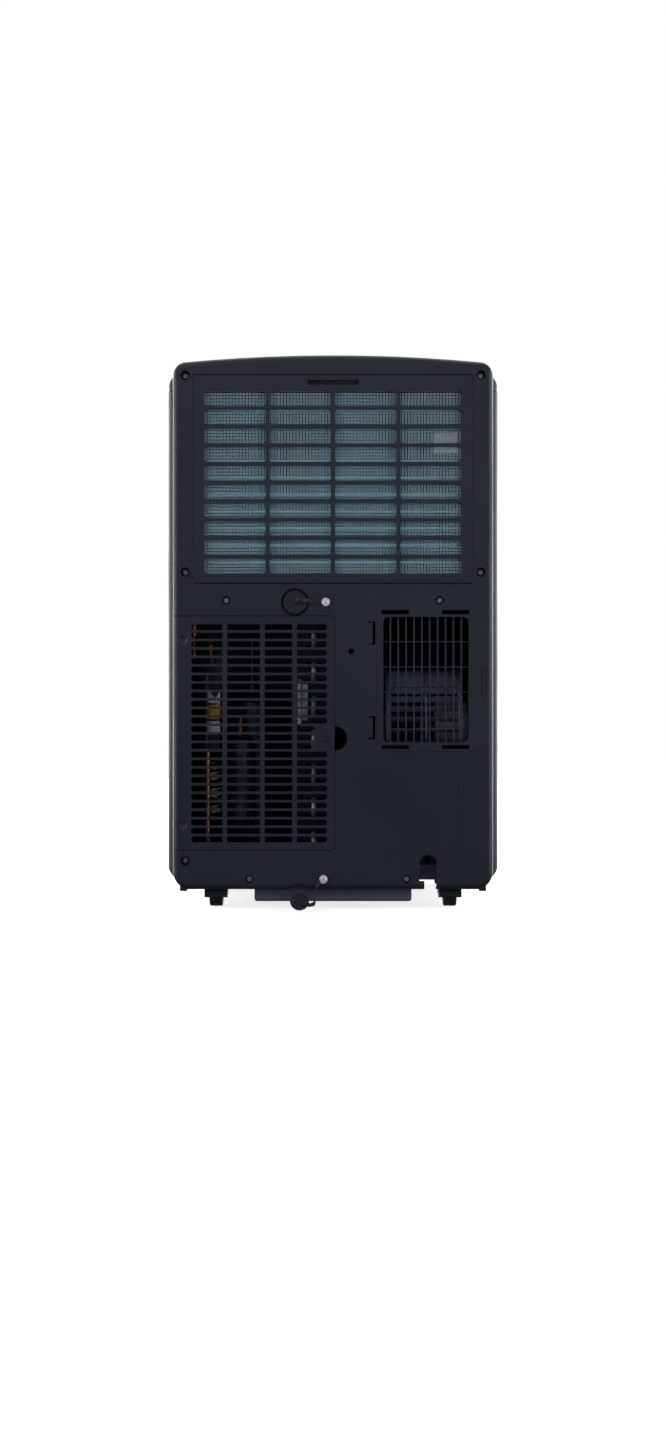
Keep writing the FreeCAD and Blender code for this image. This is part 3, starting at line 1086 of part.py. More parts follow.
def compressor_mounts():
    """The rubber feet under the compressor, each with a neck through its base plate."""
    mounts = []
    for x, y in mount_places():
        z0 = FLOOR_Z + PAN_T
        foot = joined([rod(x, y, z0, 9.0, MOUNT_H, Z_AXIS), rod(x, y, z0 + MOUNT_H - 1, 4.2, 7.0, Z_AXIS)])
        mounts.append(joined([foot, rod(x, y, z0 + MOUNT_H + 3.5, 6.5, 2.5, Z_AXIS)]))
    return group(mounts)


def accumulator():
    """The suction accumulator beside the compressor, on its bracket."""
    x, y = accumulator_xy()
    z0 = FLOOR_Z + PAN_T + ACCUMULATOR_LIFT
    can = rod(x, y, z0, ACCUMULATOR_R, ACCUMULATOR_H, Z_AXIS)
    return can.makeFillet(12.0, [e for e in can.Edges if e.BoundBox.ZLength < 0.1])


def accumulator_xy():
    """Middle of the accumulator."""
    return COMPRESSOR_X + 12.0, COMPRESSOR_Y + COMPRESSOR_R + ACCUMULATOR_R + 6.0


def condenser_span():
    """(low, high) z of the condenser."""
    return FLOOR_Z + PAN_T + 12.5, DECK_Z - 34.0


def evaporator_span():
    """(low, high) z of the evaporator."""
    return DECK_Z + 16.0, PANEL_Z - 11.0


def tube_rows(span):
    """z of each tube row in a coil; their number is even, so that its two free ends are on one side."""
    z0, z1 = span
    rows = 2 * int((z1 - z0) / (2 * COIL_PITCH))
    first = 0.5 * (z0 + z1) - 0.5 * (rows - 1) * COIL_PITCH
    return [first + i * COIL_PITCH for i in range(rows)]


def coil_block(x0, x1, y0, y1, span, grooved):
    """A finned block with a groove between its tube rows on two faces; grooved is their normal's axis."""
    block, g, cuts = box(x0, x1, y0, y1, *span), FIN_GROOVE, []
    for row in tube_rows(span)[1:]:
        zs = (row - (COIL_PITCH + g) / 2, row - (COIL_PITCH - g) / 2)
        if grooved == "y":
            cuts += [box(x0 - 1, x1 + 1, *ys, *zs) for ys in ((y0 - 1, y0 + g), (y1 - g, y1 + 1))]
        else:
            cuts += [box(*xs, y0 - 1, y1 + 1, *zs) for xs in ((x0 - 1, x0 + g), (x1 - g, x1 + 1))]
    return block.cut(cuts)


def condenser_coil():
    """The condenser: finned block and its two end plates, standing fore and aft."""
    span, margin = condenser_span(), END_PLATE_MARGIN
    x0, x1 = CONDENSER_X0, CONDENSER_X0 + COIL_T
    fins = coil_block(x0, x1, CONDENSER_Y0, CONDENSER_Y1, span, "x")
    places = (CONDENSER_Y0 - END_PLATE_T, CONDENSER_Y1)
    z0, z1 = FLOOR_Z + PAN_T, span[1] + margin
    plates = [box(x0 - margin, x1 + margin, y, y + END_PLATE_T, z0, z1) for y in places]
    return joined([fins] + plates)


def evaporator_coil():
    """The evaporator: finned block and its two end plates, standing across the back."""
    span, margin = evaporator_span(), END_PLATE_MARGIN
    x, y0, y1 = EVAPORATOR_HALF_X, EVAPORATOR_Y0, EVAPORATOR_Y0 + COIL_T
    fins = coil_block(-x, x, y0, y1, span, "y")
    places = (-x - END_PLATE_T, x)
    plates = [box(s, s + END_PLATE_T, y0 - margin, y1 + margin, DECK_Z + 3, span[1] + margin) for s in places]
    return joined([fins] + plates)


def half_ring(centre, axis, away):
    """A U-bend between two tube rows, bulging towards away."""
    ring = Part.makeTorus(COIL_PITCH / 2, TUBE_R, centre, axis)
    side = 4 * COIL_PITCH
    return ring.cut(Part.makeBox(side, side, side, centre - V(1, 1, 1) * (side / 2) - away * (side / 2)))


def return_bends(rows, near, far, axis, away):
    """The U-bends of one coil; away points out of its near end, where the two free tube ends aren't."""
    bends = []
    for i, (low, high) in enumerate(zip(rows, rows[1:])):
        end, direction = (near, away) if i % 2 == 0 else (far, -away)
        bends.append(half_ring(V(end.x, end.y, 0.5 * (low + high)), axis, direction))
    return bends


def coil_return_bends():
    """The copper U-bends on the ends of both coils."""
    x, y = CONDENSER_X0 + COIL_T / 2, EVAPORATOR_Y0 + COIL_T / 2
    back, front = V(x, CONDENSER_Y1 + END_PLATE_T, 0), V(x, CONDENSER_Y0 - END_PLATE_T, 0)
    left, right = V(-EVAPORATOR_HALF_X - END_PLATE_T, y, 0), V(EVAPORATOR_HALF_X + END_PLATE_T, y, 0)
    bends = return_bends(tube_rows(condenser_span()), back, front, X_AXIS, Y_AXIS)
    return group(bends + return_bends(tube_rows(evaporator_span()), left, right, Y_AXIS, -X_AXIS))


def refrigerant_pipes():
    """Discharge, suction and liquid lines, each a bent copper tube."""
    top_z = FLOOR_Z + PAN_T + MOUNT_H + 3 + COMPRESSOR_H + 9
    ax, ay = accumulator_xy()
    acc_top = FLOOR_Z + PAN_T + ACCUMULATOR_LIFT + ACCUMULATOR_H
    cx, front = CONDENSER_X0 + COIL_T / 2, CONDENSER_Y0 - END_PLATE_T
    low_row, high_row = tube_rows(condenser_span())[0], tube_rows(condenser_span())[-1]
    cold_in, cold_out = tube_rows(evaporator_span())[0], tube_rows(evaporator_span())[-1]
    ex, ey = EVAPORATOR_HALF_X + END_PLATE_T, EVAPORATOR_Y0 + COIL_T / 2
    discharge = [V(COMPRESSOR_X, COMPRESSOR_Y, top_z), V(COMPRESSOR_X, COMPRESSOR_Y, high_row),
                 V(COMPRESSOR_X, front - 22, high_row), V(cx, front - 22, high_row), V(cx, front, high_row)]
    sx, sy = SUCTION_XY
    suction = [V(ex, ey, cold_out), V(sx, ey, cold_out), V(sx, sy, cold_out), V(sx, sy, DECK_Z - 46),
               V(sx - 22, sy + 40, DECK_Z - 62), V(sx - 34, sy + 40, acc_top + 34), V(ax, ay, acc_top + 34),
               V(ax, ay, acc_top)]
    lx, ly = LIQUID_XY
    side_x = cx + COIL_T / 2 + END_PLATE_MARGIN + 8
    liquid = [V(ex, ey, cold_in), V(lx, ey, cold_in), V(lx, ly, cold_in), V(lx, ly, DECK_Z - 84),
              V(lx - 20, ly + 36, DECK_Z - 100), V(lx - 20, ly + 36, low_row), V(side_x, ly + 36, low_row),
              V(side_x, front - 16, low_row), V(cx, front - 16, low_row), V(cx, front, low_row)]
    thin = PIPE_R - 1.2
    lines = ((discharge, PIPE_R, 12.0), (suction, PIPE_R, 9.0), (liquid, thin, 6.0))
    return group([bent_tube(*line) for line in lines])


# ---------------------------------------------------------------- blowers
def blower_wheel(x0, x1, y, z, radius, disc_x, shaft_to):
    """A drum of blades between two rings, carried by a disc and a shaft."""
    inner = radius - BLADE_DEPTH
    rings = [tube(x0, y, z, radius, inner, 6.0, X_AXIS), tube(x1 - 6, y, z, radius, inner, 6.0, X_AXIS)]
    disc = rod(disc_x, y, z, radius, 2.5, X_AXIS)
    low, high = sorted((disc_x + 1, shaft_to))
    shaft = rod(low, y, z, SHAFT_R, high - low, X_AXIS)
    hub = rod(disc_x - 4, y, z, 11.0, 10.5, X_AXIS)
    blades = []
    for k in range(WHEEL_BLADES):
        blade = box(x0 + 1, x1 - 1, y + inner + 0.8, y + radius - 0.8, z - BLADE_T / 2, z + BLADE_T / 2)
        blade.rotate(V(x0, y + inner + 4, z), X_AXIS, 28)
        blade.rotate(V(x0, y, z), X_AXIS, 360.0 * k / WHEEL_BLADES)
        blades.append(blade)
    return joined(rings + [disc, hub, shaft] + blades)


def scroll_face(y, z, radii, mouth, drop, grow, upward):
    """The outline of a blower's scroll: an opening spiral, then a straight outlet as far as mouth.

    The outlet runs towards +Y with its straight wall on top, or with upward towards +Z with that wall
    at the back. drop is how far its other wall stands from the shaft's level.
    """
    def place(along, across):
        return V(0, y + across, z + along) if upward else V(0, y + along, z + across)

    def point(turn, radius):
        angle = math.radians(turn)
        return place(radius * math.cos(angle), radius * math.sin(angle))

    start_r, end_r = radii[0] + grow, radii[1] + grow
    first_turn = -math.degrees(math.asin((drop + grow) / start_r))
    steps, edges = 6, []
    for i in range(steps):
        shares = [(i + part) / steps for part in (0.0, 0.5, 1.0)]
        whole, growth = 270 + first_turn, end_r - start_r
        arc = [point(first_turn - share * whole, start_r + share * growth) for share in shares]
        edges.append(Part.Arc(*arc).toShape())
    corners = [point(-270, end_r), place(mouth, end_r), place(mouth, -drop - grow)]
    corners.append(point(first_turn, start_r))
    edges += [Part.makeLine(a, b) for a, b in zip(corners, corners[1:])]
    return Part.Face(Part.Wire(edges))


def blower_case(span, y, z, radii, mouth, drop, upward, holes):
    """A scroll casing; holes holds the (x, radius) of each opening in its side plates."""
    x0, x1 = span
    outer = scroll_face(y, z, radii, mouth, drop, DUCT_WALL, upward)
    inner = scroll_face(y, z, radii, mouth + 5, drop, 0.0, upward)
    outer.translate(V(x0, 0, 0))
    inner.translate(V(x0 + DUCT_WALL, 0, 0))
    case = outer.extrude(V(x1 - x0, 0, 0)).cut(inner.extrude(V(x1 - x0 - 2 * DUCT_WALL, 0, 0)))
    return case.cut([rod(x - 5, y, z, radius, 10, X_AXIS) for x, radius in holes])


def exhaust_span():
    """(low, high) x of the exhaust blower's casing."""
    return EXHAUST_X1 - 7.0, EXHAUST_X0 + 5.0


def exhaust_housing():
    """The exhaust blower's scroll casing, open to the exhaust window."""
    x0, x1 = exhaust_span()
    radii = (EXHAUST_FAN_R + FAN_GAP, EXHAUST_Z1 - EXHAUST_FAN_Z)
    mouth = INNER_REAR_Y - GUARD_T - EXHAUST_FAN_Y
    holes = [(x0, MOTOR_R), (x1, EXHAUST_FAN_R - 14)]
    drop = EXHAUST_FAN_Z - EXHAUST_Z0
    return blower_case((x0, x1), EXHAUST_FAN_Y, EXHAUST_FAN_Z, radii, mouth, drop, False, holes)


def exhaust_wheel():
    """The exhaust blower's drum."""
    x0, x1 = exhaust_span()
    a, b = x0 + 10, x1 - 10
    disc_x, shaft_to = x0 + MOTOR_L + 12, x0 + MOTOR_L - 9
    return blower_wheel(a, b, EXHAUST_FAN_Y, EXHAUST_FAN_Z, EXHAUST_FAN_R, disc_x, shaft_to)


def indoor_fan_z():
    """Height of the indoor blower's shaft."""
    return HEIGHT - OUTLET_DEPTH - 96.0


def indoor_housing():
    """The indoor blower's scroll casing, which blows up into the outlet duct."""
    half = INDOOR_FAN_HALF + 10
    radii = (INDOOR_FAN_R + FAN_GAP, INDOOR_SCROLL_R)
    mouth = HEIGHT - OUTLET_DEPTH - indoor_fan_z()
    drop = INDOOR_FAN_Y - OUTLET_Y0 + DUCT_MARGIN
    holes = [(-half, MOTOR_R), (half, INDOOR_FAN_R - 14)]
    return blower_case((-half, half), INDOOR_FAN_Y, indoor_fan_z(), radii, mouth, drop, True, holes)


def indoor_wheel():
    """The indoor blower's drum."""
    half = INDOOR_FAN_HALF
    shaft_to = -half - 10 + MOTOR_L - 9
    return blower_wheel(-half, half, INDOOR_FAN_Y, indoor_fan_z(), INDOOR_FAN_R, shaft_to + 21, shaft_to)


def fan_motors():
    """Both fan motors, each on its casing's side plate and reaching into its wheel."""
    motors = []
    exhaust = (exhaust_span()[0], EXHAUST_FAN_Y, EXHAUST_FAN_Z)
    indoor = (-INDOOR_FAN_HALF - 10, INDOOR_FAN_Y, indoor_fan_z())
    for x0, y, z in (exhaust, indoor):
        can = rod(x0 - 6, y, z, MOTOR_R, MOTOR_L + 6, X_AXIS)
        flange = rod(x0 - 2, y, z, MOTOR_R + 9, 2.0, X_AXIS)
        bore = rod(x0 + MOTOR_L - 10, y, z, SHAFT_R + PIN_FIT, 20, X_AXIS)
        motors.append(joined([can, flange]).cut(bore))
    return group(motors)


def control_box():
    """The closed box of the power electronics, in the upper right side."""
    x0, x1 = EVAPORATOR_HALF_X - 18, SHELL_HALF - 8
    return rounded_box(x0, x1, -64, 26, DECK_Z + 20, HEIGHT - 185, 3.0, Y_AXIS)


# ---------------------------------------------------------------- every piece, by file name
def all_pieces():
    """Every piece's name and shape."""
    pieces = {
        "rear_shell": rear_shell(),
        "side_clips": side_clips(),
        "front_case": front_case(),
        "control_panel": control_panel(),
        "display_window": display_window(),
        "control_board": control_board(),
        "side_handles": side_handles(),
        "outlet_duct": outlet_duct(),
        "louver_flap": louver_flap(),
        "louver_motor": louver_motor(),
        "vane_link": vane_link(),
        "upper_filter_frame": upper_filter_door(),
        "upper_filter_mesh": upper_filter_mesh(),
        "lower_filter_door": lower_filter_door(),
        "door_screw": door_screw(),
        "shell_screws": shell_screws(),
        "strap_screws": strap_screws(),
        "exhaust_grille": exhaust_guard(),
        "cord_inlet": cord_inlet(),
        "drain_spouts": drain_spouts(),
        "upper_drain_plug": upper_drain_plug(),
        "upper_drain_strap": upper_drain_strap(),
        "lower_drain_plug": lower_drain_plug(),
        "lower_drain_strap": lower_drain_strap(),
        "caster_sockets": caster_sockets(),
        "base_pan": base_pan(),
        "drip_tray": drip_tray(),
        "deck_tray": deck_tray(),
        "compressor": compressor(),
        "compressor_mounts": compressor_mounts(),
        "accumulator": accumulator(),
        "condenser_coil": condenser_coil(),
        "evaporator_coil": evaporator_coil(),
        "coil_return_bends": coil_return_bends(),
        "refrigerant_pipes": refrigerant_pipes(),
        "exhaust_housing": exhaust_housing(),
        "exhaust_wheel": exhaust_wheel(),
        "indoor_housing": indoor_housing(),
        "indoor_wheel": indoor_wheel(),
        "fan_motors": fan_motors(),
        "control_box": control_box(),
    }
    for name, place in button_places().items():
        pieces[name] = panel_button(place)
    for i, x in enumerate(vane_places()):
        pieces[f"vane_{i + 1}"] = vane(x)
    for name, (x, y) in caster_places().items():
        pieces[f"caster_fork_{name}"] = caster_fork(x, y)
        pieces[f"caster_wheel_{name}"] = caster_wheel(x, y)
    return pieces


os.makedirs("parts", exist_ok=True)
for piece_name, piece in all_pieces().items():
    piece.exportStep(f"parts/{piece_name}.step")
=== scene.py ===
"""The looks of a portable air conditioner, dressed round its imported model.

Every size is in metres in the model's own frame: +Z up, the flat back with its grilles faces +Y, and +X is on
the left of someone who looks at the back. Values with MM are millimetres, as a maker would write them.
"""

from __future__ import annotations

import json
import logging
import math
from dataclasses import dataclass
from enum import Enum
from typing import Any, Iterable, Sequence

import bmesh
import bpy
from mathutils import Matrix, Vector

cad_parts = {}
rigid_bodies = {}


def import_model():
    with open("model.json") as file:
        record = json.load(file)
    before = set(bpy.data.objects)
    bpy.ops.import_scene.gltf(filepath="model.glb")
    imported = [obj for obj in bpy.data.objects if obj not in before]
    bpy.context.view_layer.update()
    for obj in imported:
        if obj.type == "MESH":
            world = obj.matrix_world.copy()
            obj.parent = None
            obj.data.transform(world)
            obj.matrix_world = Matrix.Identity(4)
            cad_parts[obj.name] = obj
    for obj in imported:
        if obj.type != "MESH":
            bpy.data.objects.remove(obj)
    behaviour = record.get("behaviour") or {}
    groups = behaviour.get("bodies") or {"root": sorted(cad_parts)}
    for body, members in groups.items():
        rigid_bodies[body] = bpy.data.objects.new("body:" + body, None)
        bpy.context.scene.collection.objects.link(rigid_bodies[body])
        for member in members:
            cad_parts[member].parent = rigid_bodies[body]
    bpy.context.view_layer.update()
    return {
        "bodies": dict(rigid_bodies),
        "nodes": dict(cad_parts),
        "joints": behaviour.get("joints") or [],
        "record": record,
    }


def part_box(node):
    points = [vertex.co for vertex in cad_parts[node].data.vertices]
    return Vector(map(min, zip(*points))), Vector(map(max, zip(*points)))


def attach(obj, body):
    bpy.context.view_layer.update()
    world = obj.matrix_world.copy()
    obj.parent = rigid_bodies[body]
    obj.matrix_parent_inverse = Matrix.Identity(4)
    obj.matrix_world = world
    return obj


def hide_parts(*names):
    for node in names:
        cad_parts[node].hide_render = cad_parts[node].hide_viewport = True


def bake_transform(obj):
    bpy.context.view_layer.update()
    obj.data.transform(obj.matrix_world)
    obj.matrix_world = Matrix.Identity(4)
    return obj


LOG = logging.getLogger("air_conditioner")
MM = 0.001
Point = tuple[float, float, float]
Flat = tuple[float, float]
Tree, Socket = bpy.types.NodeTree, bpy.types.NodeSocket
Nodes = dict[str, bpy.types.Object]

IMAGE_WIDTH, IMAGE_HEIGHT = 666, 1440
FLAT_BACK = 152.5 * MM             # the y of the flat back, which the picture's width is given at


# ---------------------------------------------------------------- colours and nodes
def linear(code: str) -> tuple[float, float, float, float]:
    """Turns an sRGB hex colour to linear.

    Args:
        code: Six hex digits.

    Returns:
        Red, green, blue and an alpha of one.
    """
    parts = [int(code[i:i + 2], 16) / 255 for i in (0, 2, 4)]
    low = [c / 12.92 if c <= 0.04045 else ((c + 0.055) / 1.055) ** 2.4 for c in parts]
    return low[0], low[1], low[2], 1.0


def add(tree: Tree, kind: str, settings: dict[str, Any] | None = None,
        inputs: dict[Any, Any] | None = None) -> bpy.types.Node:
    """Adds one node with its settings and its links.

    Args:
        tree: The node tree that it goes into.
        kind: The node's type, without "ShaderNode".
        settings: Properties of the node.
        inputs: Inputs by name or index; each is a value, or another node's output to link.

    Returns:
        The new node.
    """
    node = tree.nodes.new("ShaderNode" + kind)
    for name, value in (settings or {}).items():
        setattr(node, name, value)
    for name, value in (inputs or {}).items():
        if isinstance(value, Socket):
            tree.links.new(value, node.inputs[name])
        else:
            node.inputs[name].default_value = value
    return node


def maths(tree: Tree, what: str, first: Any, second: Any = 0.0) -> Socket:
    """Adds a sum of two numbers or outputs, and returns its output."""
    return add(tree, "Math", {"operation": what}, {0: first, 1: second}).outputs[0]


def start(name: str) -> tuple[bpy.types.Material, Tree, Socket]:
    """Starts a finish.

    Args:
        name: The material's name.

    Returns:
        The material, its empty node tree, and the place on the object in the frame's metres.
    """
    material = bpy.data.materials.new(name)
    material.use_nodes = True
    tree = material.node_tree
    tree.nodes.clear()
    place = add(tree, "TexCoord").outputs["Object"]
    return material, tree, place


def close(tree: Tree, shader: Socket) -> None:
    """Sends a shader to the material's surface output."""
    add(tree, "OutputMaterial", None, {"Surface": shader})


def surface(material: bpy.types.Material, inputs: dict[str, Any]) -> bpy.types.Material:
    """Ends a finish with one principled shader that has the given inputs, and returns the material."""
    tree = material.node_tree
    close(tree, add(tree, "BsdfPrincipled", None, inputs).outputs[0])
    return material


def bump(tree: Tree, height: Socket, strength: float, depth_mm: float,
         normal: Socket | None = None) -> Socket:
    """Raises the surface to the eye.

    Args:
        tree: The node tree.
        height: The height, from 0 to 1.
        strength: How much of it shows.
        depth_mm: The depth that a height of one stands for.
        normal: The normal that it starts from, if not the surface's own.

    Returns:
        The new normal.
    """
    inputs = {"Strength": strength, "Distance": depth_mm * MM, "Height": height}
    if normal is not None:
        inputs["Normal"] = normal
    return add(tree, "Bump", None, inputs).outputs[0]


def cloud(tree: Tree, place: Socket, size_mm: float, detail: float = 3.0,
          stretch: Point = (1.0, 1.0, 1.0)) -> Socket:
    """Draws an even noise.

    Args:
        tree: The node tree.
        place: Where on the object.
        size_mm: The size of its blotches.
        detail: How many finer layers it has.
        stretch: How many times finer it is along each axis.

    Returns:
        The noise, from 0 to 1.
    """
    spread = add(tree, "Mapping", None, {"Vector": place, "Scale": stretch}).outputs[0]
    noise = add(tree, "TexNoise", None, {"Vector": spread, "Scale": 1 / (size_mm * MM), "Detail": detail})
    return noise.outputs["Fac"]


def blend_colours(tree: Tree, share: Any, first: Any, second: Any,
                  how: str = "MIX") -> Socket:
    """Mixes two colours.

    Args:
        tree: The node tree.
        share: How much of the second one, a number or an output.
        first: The first colour, as linear values or an output.
        second: The second colour.
        how: The way that they are mixed.

    Returns:
        The mixed colour.
    """
    mixer = add(tree, "Mix", {"data_type": "RGBA", "blend_type": how}, {0: share, 6: first, 7: second})
    return mixer.outputs[2]


def soft_step(tree: Tree, value: Socket, low: float, high: float,
              out_low: float = 0.0, out_high: float = 1.0) -> Socket:
    """Turns a stretch of a value's range to another range, smoothly and held at both ends.

    Args:
        tree: The node tree.
        value: The value.
        low: Where the stretch starts.
        high: Where it ends.
        out_low: What it gives at and below the start.
        out_high: What it gives at and above the end.

    Returns:
        The new value.
    """
    ranged = add(tree, "MapRange", {"interpolation_type": "SMOOTHSTEP"},
                 {0: value, 1: low, 2: high, 3: out_low, 4: out_high})
    return ranged.outputs[0]


def rounded_edges(tree: Tree, radius_mm: float) -> tuple[Socket, Socket]:
    """Rounds every edge to the eye, as a mould or a bending tool does.

    Args:
        tree: The node tree.
        radius_mm: The edge radius.

    Returns:
        The rounded normal, and a mask that is 1 on an edge and 0 on a flat.
    """
    bevel = add(tree, "Bevel", {"samples": 4}, {"Radius": radius_mm * MM}).outputs[0]
    true = add(tree, "NewGeometry").outputs["True Normal"]
    same = add(tree, "VectorMath", {"operation": "DOT_PRODUCT"}, {0: bevel, 1: true}).outputs["Value"]
    return bevel, soft_step(tree, same, 0.999, 0.86)


# ---------------------------------------------------------------- finishes
@dataclass(frozen=True)
class MouldedPlastic:
    """ABS or polypropylene, injection moulded in a spark-eroded tool.

    To the eye it is a soft even sheen with a fine grain, slow clouds of gloss where the melt cooled unevenly,
    with a painted sheen that tints the colour lighter in the same clouds, and paler edges where hands and
    packing have rubbed them. A low colour, where given, is painted shade: the colour turns to it towards the
    bottom.
    """

    name: str
    colour: str
    sheen_and_wear_colour: str
    roughness: float
    grain_mm: float = 1.6          # real grain is about 0.3 mm, too fine to show, so it is drawn coarser
    grain_depth_mm: float = 0.02
    edge_mm: float = 0.7
    edge_share: float = 0.22
    painted_low_shade: str = ""

    def make(self) -> bpy.types.Material:
        """Returns the material."""
        material, tree, place = start(self.name)
        normal, edge = rounded_edges(tree, self.edge_mm)
        cloud_slow = cloud(tree, place, 160.0, 2.0)
        colour: Any = linear(self.colour)
        # Painted shade: darker and bluer towards the bottom, from z 0.62 m down to 0.02 m.
        if self.painted_low_shade:
            height = add(tree, "SeparateXYZ", None, {0: place}).outputs["Z"]
            colour = blend_colours(tree, soft_step(tree, height, 0.02, 0.62), linear(self.painted_low_shade), colour)
        # Painted sheen: the colour is tinted lighter in the same slow clouds that vary the roughness.
        tinted = blend_colours(tree, soft_step(tree, cloud_slow, 0.35, 0.75, 0.0, 0.18), colour,
                               linear(self.sheen_and_wear_colour))
        scuff = cloud(tree, place, 9.0, 5.0, (1.0, 1.0, 0.35))
        worn = maths(tree, "MULTIPLY", edge, soft_step(tree, scuff, 0.3, 0.7, 0.1, self.edge_share * 2))
        rubbed = blend_colours(tree, worn, tinted, linear(self.sheen_and_wear_colour), "ADD")
        rough = soft_step(tree, cloud_slow, 0.3, 0.7, self.roughness - 0.05, self.roughness + 0.07)
        grain = cloud(tree, place, self.grain_mm, 2.0)
        raised = bump(tree, grain, 0.5, self.grain_depth_mm, normal)
        return surface(material, {"Base Color": rubbed, "Roughness": rough, "Normal": raised, "IOR": 1.53})


@dataclass(frozen=True)
class MouldedRubber:
    """Soft thermoplastic rubber: a dull surface that takes dust and has a bloom on raised places."""

    name: str
    colour: str
    bloom_colour: str
    roughness: float = 0.62

    def make(self) -> bpy.types.Material:
        """Returns the material."""
        material, tree, place = start(self.name)
        normal, edge = rounded_edges(tree, 0.5)
        dust = cloud(tree, place, 5.0, 4.0)
        share = maths(tree, "MULTIPLY", soft_step(tree, dust, 0.4, 0.75), 0.5)
        bloomed = blend_colours(tree, maths(tree, "MAXIMUM", share, maths(tree, "MULTIPLY", edge, 0.4)),
                                linear(self.colour), linear(self.bloom_colour))
        raised = bump(tree, cloud(tree, place, 1.5), 0.4, 0.03, normal)
        return surface(material, {"Base Color": bloomed, "Roughness": self.roughness, "Normal": raised,
                                  "IOR": 1.5, "Sheen Weight": 0.12, "Sheen Roughness": 0.5})


@dataclass(frozen=True)
class WovenScreen:
    """Plain-woven nylon monofilament, the washable dust screen.

    To the eye it is a grey-green veil: round shiny threads with open holes, through which the fins show. The
    real threads stand about 1 mm apart, too fine to show, so they are drawn further apart.
    """

    name: str
    thread: str
    dust: str
    pitch_mm: float = 2.0
    thread_share: float = 0.24

    def thread_height(self, tree: Tree, along: Socket,
                      across: Socket) -> Socket:
        """Draws one set of threads, each a rounded ridge that goes over and under the other set.

        Args:
            tree: The node tree.
            along: The coordinate along the threads.
            across: The coordinate across them.

        Returns:
            The ridge's height, from 0 to about 1.
        """
        wave = math.pi / (self.pitch_mm * MM)
        ridge = maths(tree, "ABSOLUTE", maths(tree, "COSINE", maths(tree, "MULTIPLY", across, wave)))
        sway = maths(tree, "MULTIPLY", maths(tree, "SINE", maths(tree, "MULTIPLY", along, wave)), 0.12)
        return maths(tree, "ADD", ridge, sway)

    def make(self) -> bpy.types.Material:
        """Returns the material."""
        material, tree, place = start(self.name)
        uneven = add(tree, "TexNoise", None, {"Vector": place, "Scale": 30.0, "Detail": 2.0}).outputs["Color"]
        offset = add(tree, "VectorMath", {"operation": "SCALE"}, {0: uneven, "Scale": 1.5 * MM}).outputs[0]
        moved = add(tree, "VectorMath", {"operation": "ADD"}, {0: place, 1: offset}).outputs[0]
        axes = add(tree, "SeparateXYZ", None, {0: moved}).outputs
        upright = self.thread_height(tree, axes["Z"], axes["X"])
        level = self.thread_height(tree, axes["X"], axes["Z"])
        height = maths(tree, "MAXIMUM", upright, level)
        limit = math.cos(math.pi / 2 * self.thread_share)
        solid = soft_step(tree, height, limit - 0.10, limit + 0.18)
        dusty = soft_step(tree, cloud(tree, place, 22.0, 4.0), 0.35, 0.7, 0.0, 0.7)
        colour = blend_colours(tree, dusty, linear(self.thread), linear(self.dust))
        raised = bump(tree, height, 0.6, 0.25)
        nylon = add(tree, "BsdfPrincipled", None, {"Base Color": colour, "Roughness": 0.42, "Normal": raised,
                                                   "IOR": 1.53, "Sheen Weight": 0.15})
        gap = add(tree, "BsdfTransparent")
        weave = add(tree, "MixShader", None, {0: solid, 1: gap.outputs[0], 2: nylon.outputs[0]})
        close(tree, weave.outputs[0])
        return material


@dataclass(frozen=True)
class CoatedFins:
    """Thin aluminium fin stock, rolled, punched and dipped in a tinted corrosion coat.

    To the eye it is a pearly tint over metal, deeper in long random streaks, with a painted glint: a brighter
    line just above each tube row, where light would catch the punched collars as they turn outwards.
    """

    name: str
    colour: str
    glint_colour: str
    metallic: float
    roughness: float
    row_pitch_mm: float
    row_start: float

    def make(self) -> bpy.types.Material:
        """Returns the material."""
        material, tree, place = start(self.name)
        # Painted glint: a near-white line just above each tube row stands for light caught on the punched
        # collars.
        height = add(tree, "SeparateXYZ", None, {0: place}).outputs["Z"]
        turns = maths(tree, "DIVIDE", maths(tree, "SUBTRACT", height, self.row_start), self.row_pitch_mm * MM)
        off_row = maths(tree, "ABSOLUTE", maths(tree, "SUBTRACT", maths(tree, "FRACT", turns), 0.5))
        glint = soft_step(tree, off_row, 0.40, 0.46)
        streak = cloud(tree, place, 6.0, 3.0, (1.0, 1.0, 0.12))
        tinted = blend_colours(tree, soft_step(tree, streak, 0.3, 0.75, 0.0, 0.5), linear(self.colour),
                               linear(self.glint_colour), "MULTIPLY")
        glint_lined = blend_colours(tree, maths(tree, "MULTIPLY", glint, 0.9), tinted, linear(self.glint_colour))
        rough = soft_step(tree, streak, 0.2, 0.8, self.roughness - 0.08, self.roughness + 0.1)
        raised = bump(tree, cloud(tree, place, 1.8, 2.0, (1.0, 1.0, 0.3)), 0.4, 0.1)
        return surface(material, {"Base Color": glint_lined, "Metallic": self.metallic, "Roughness": rough,
                                  "Normal": raised})


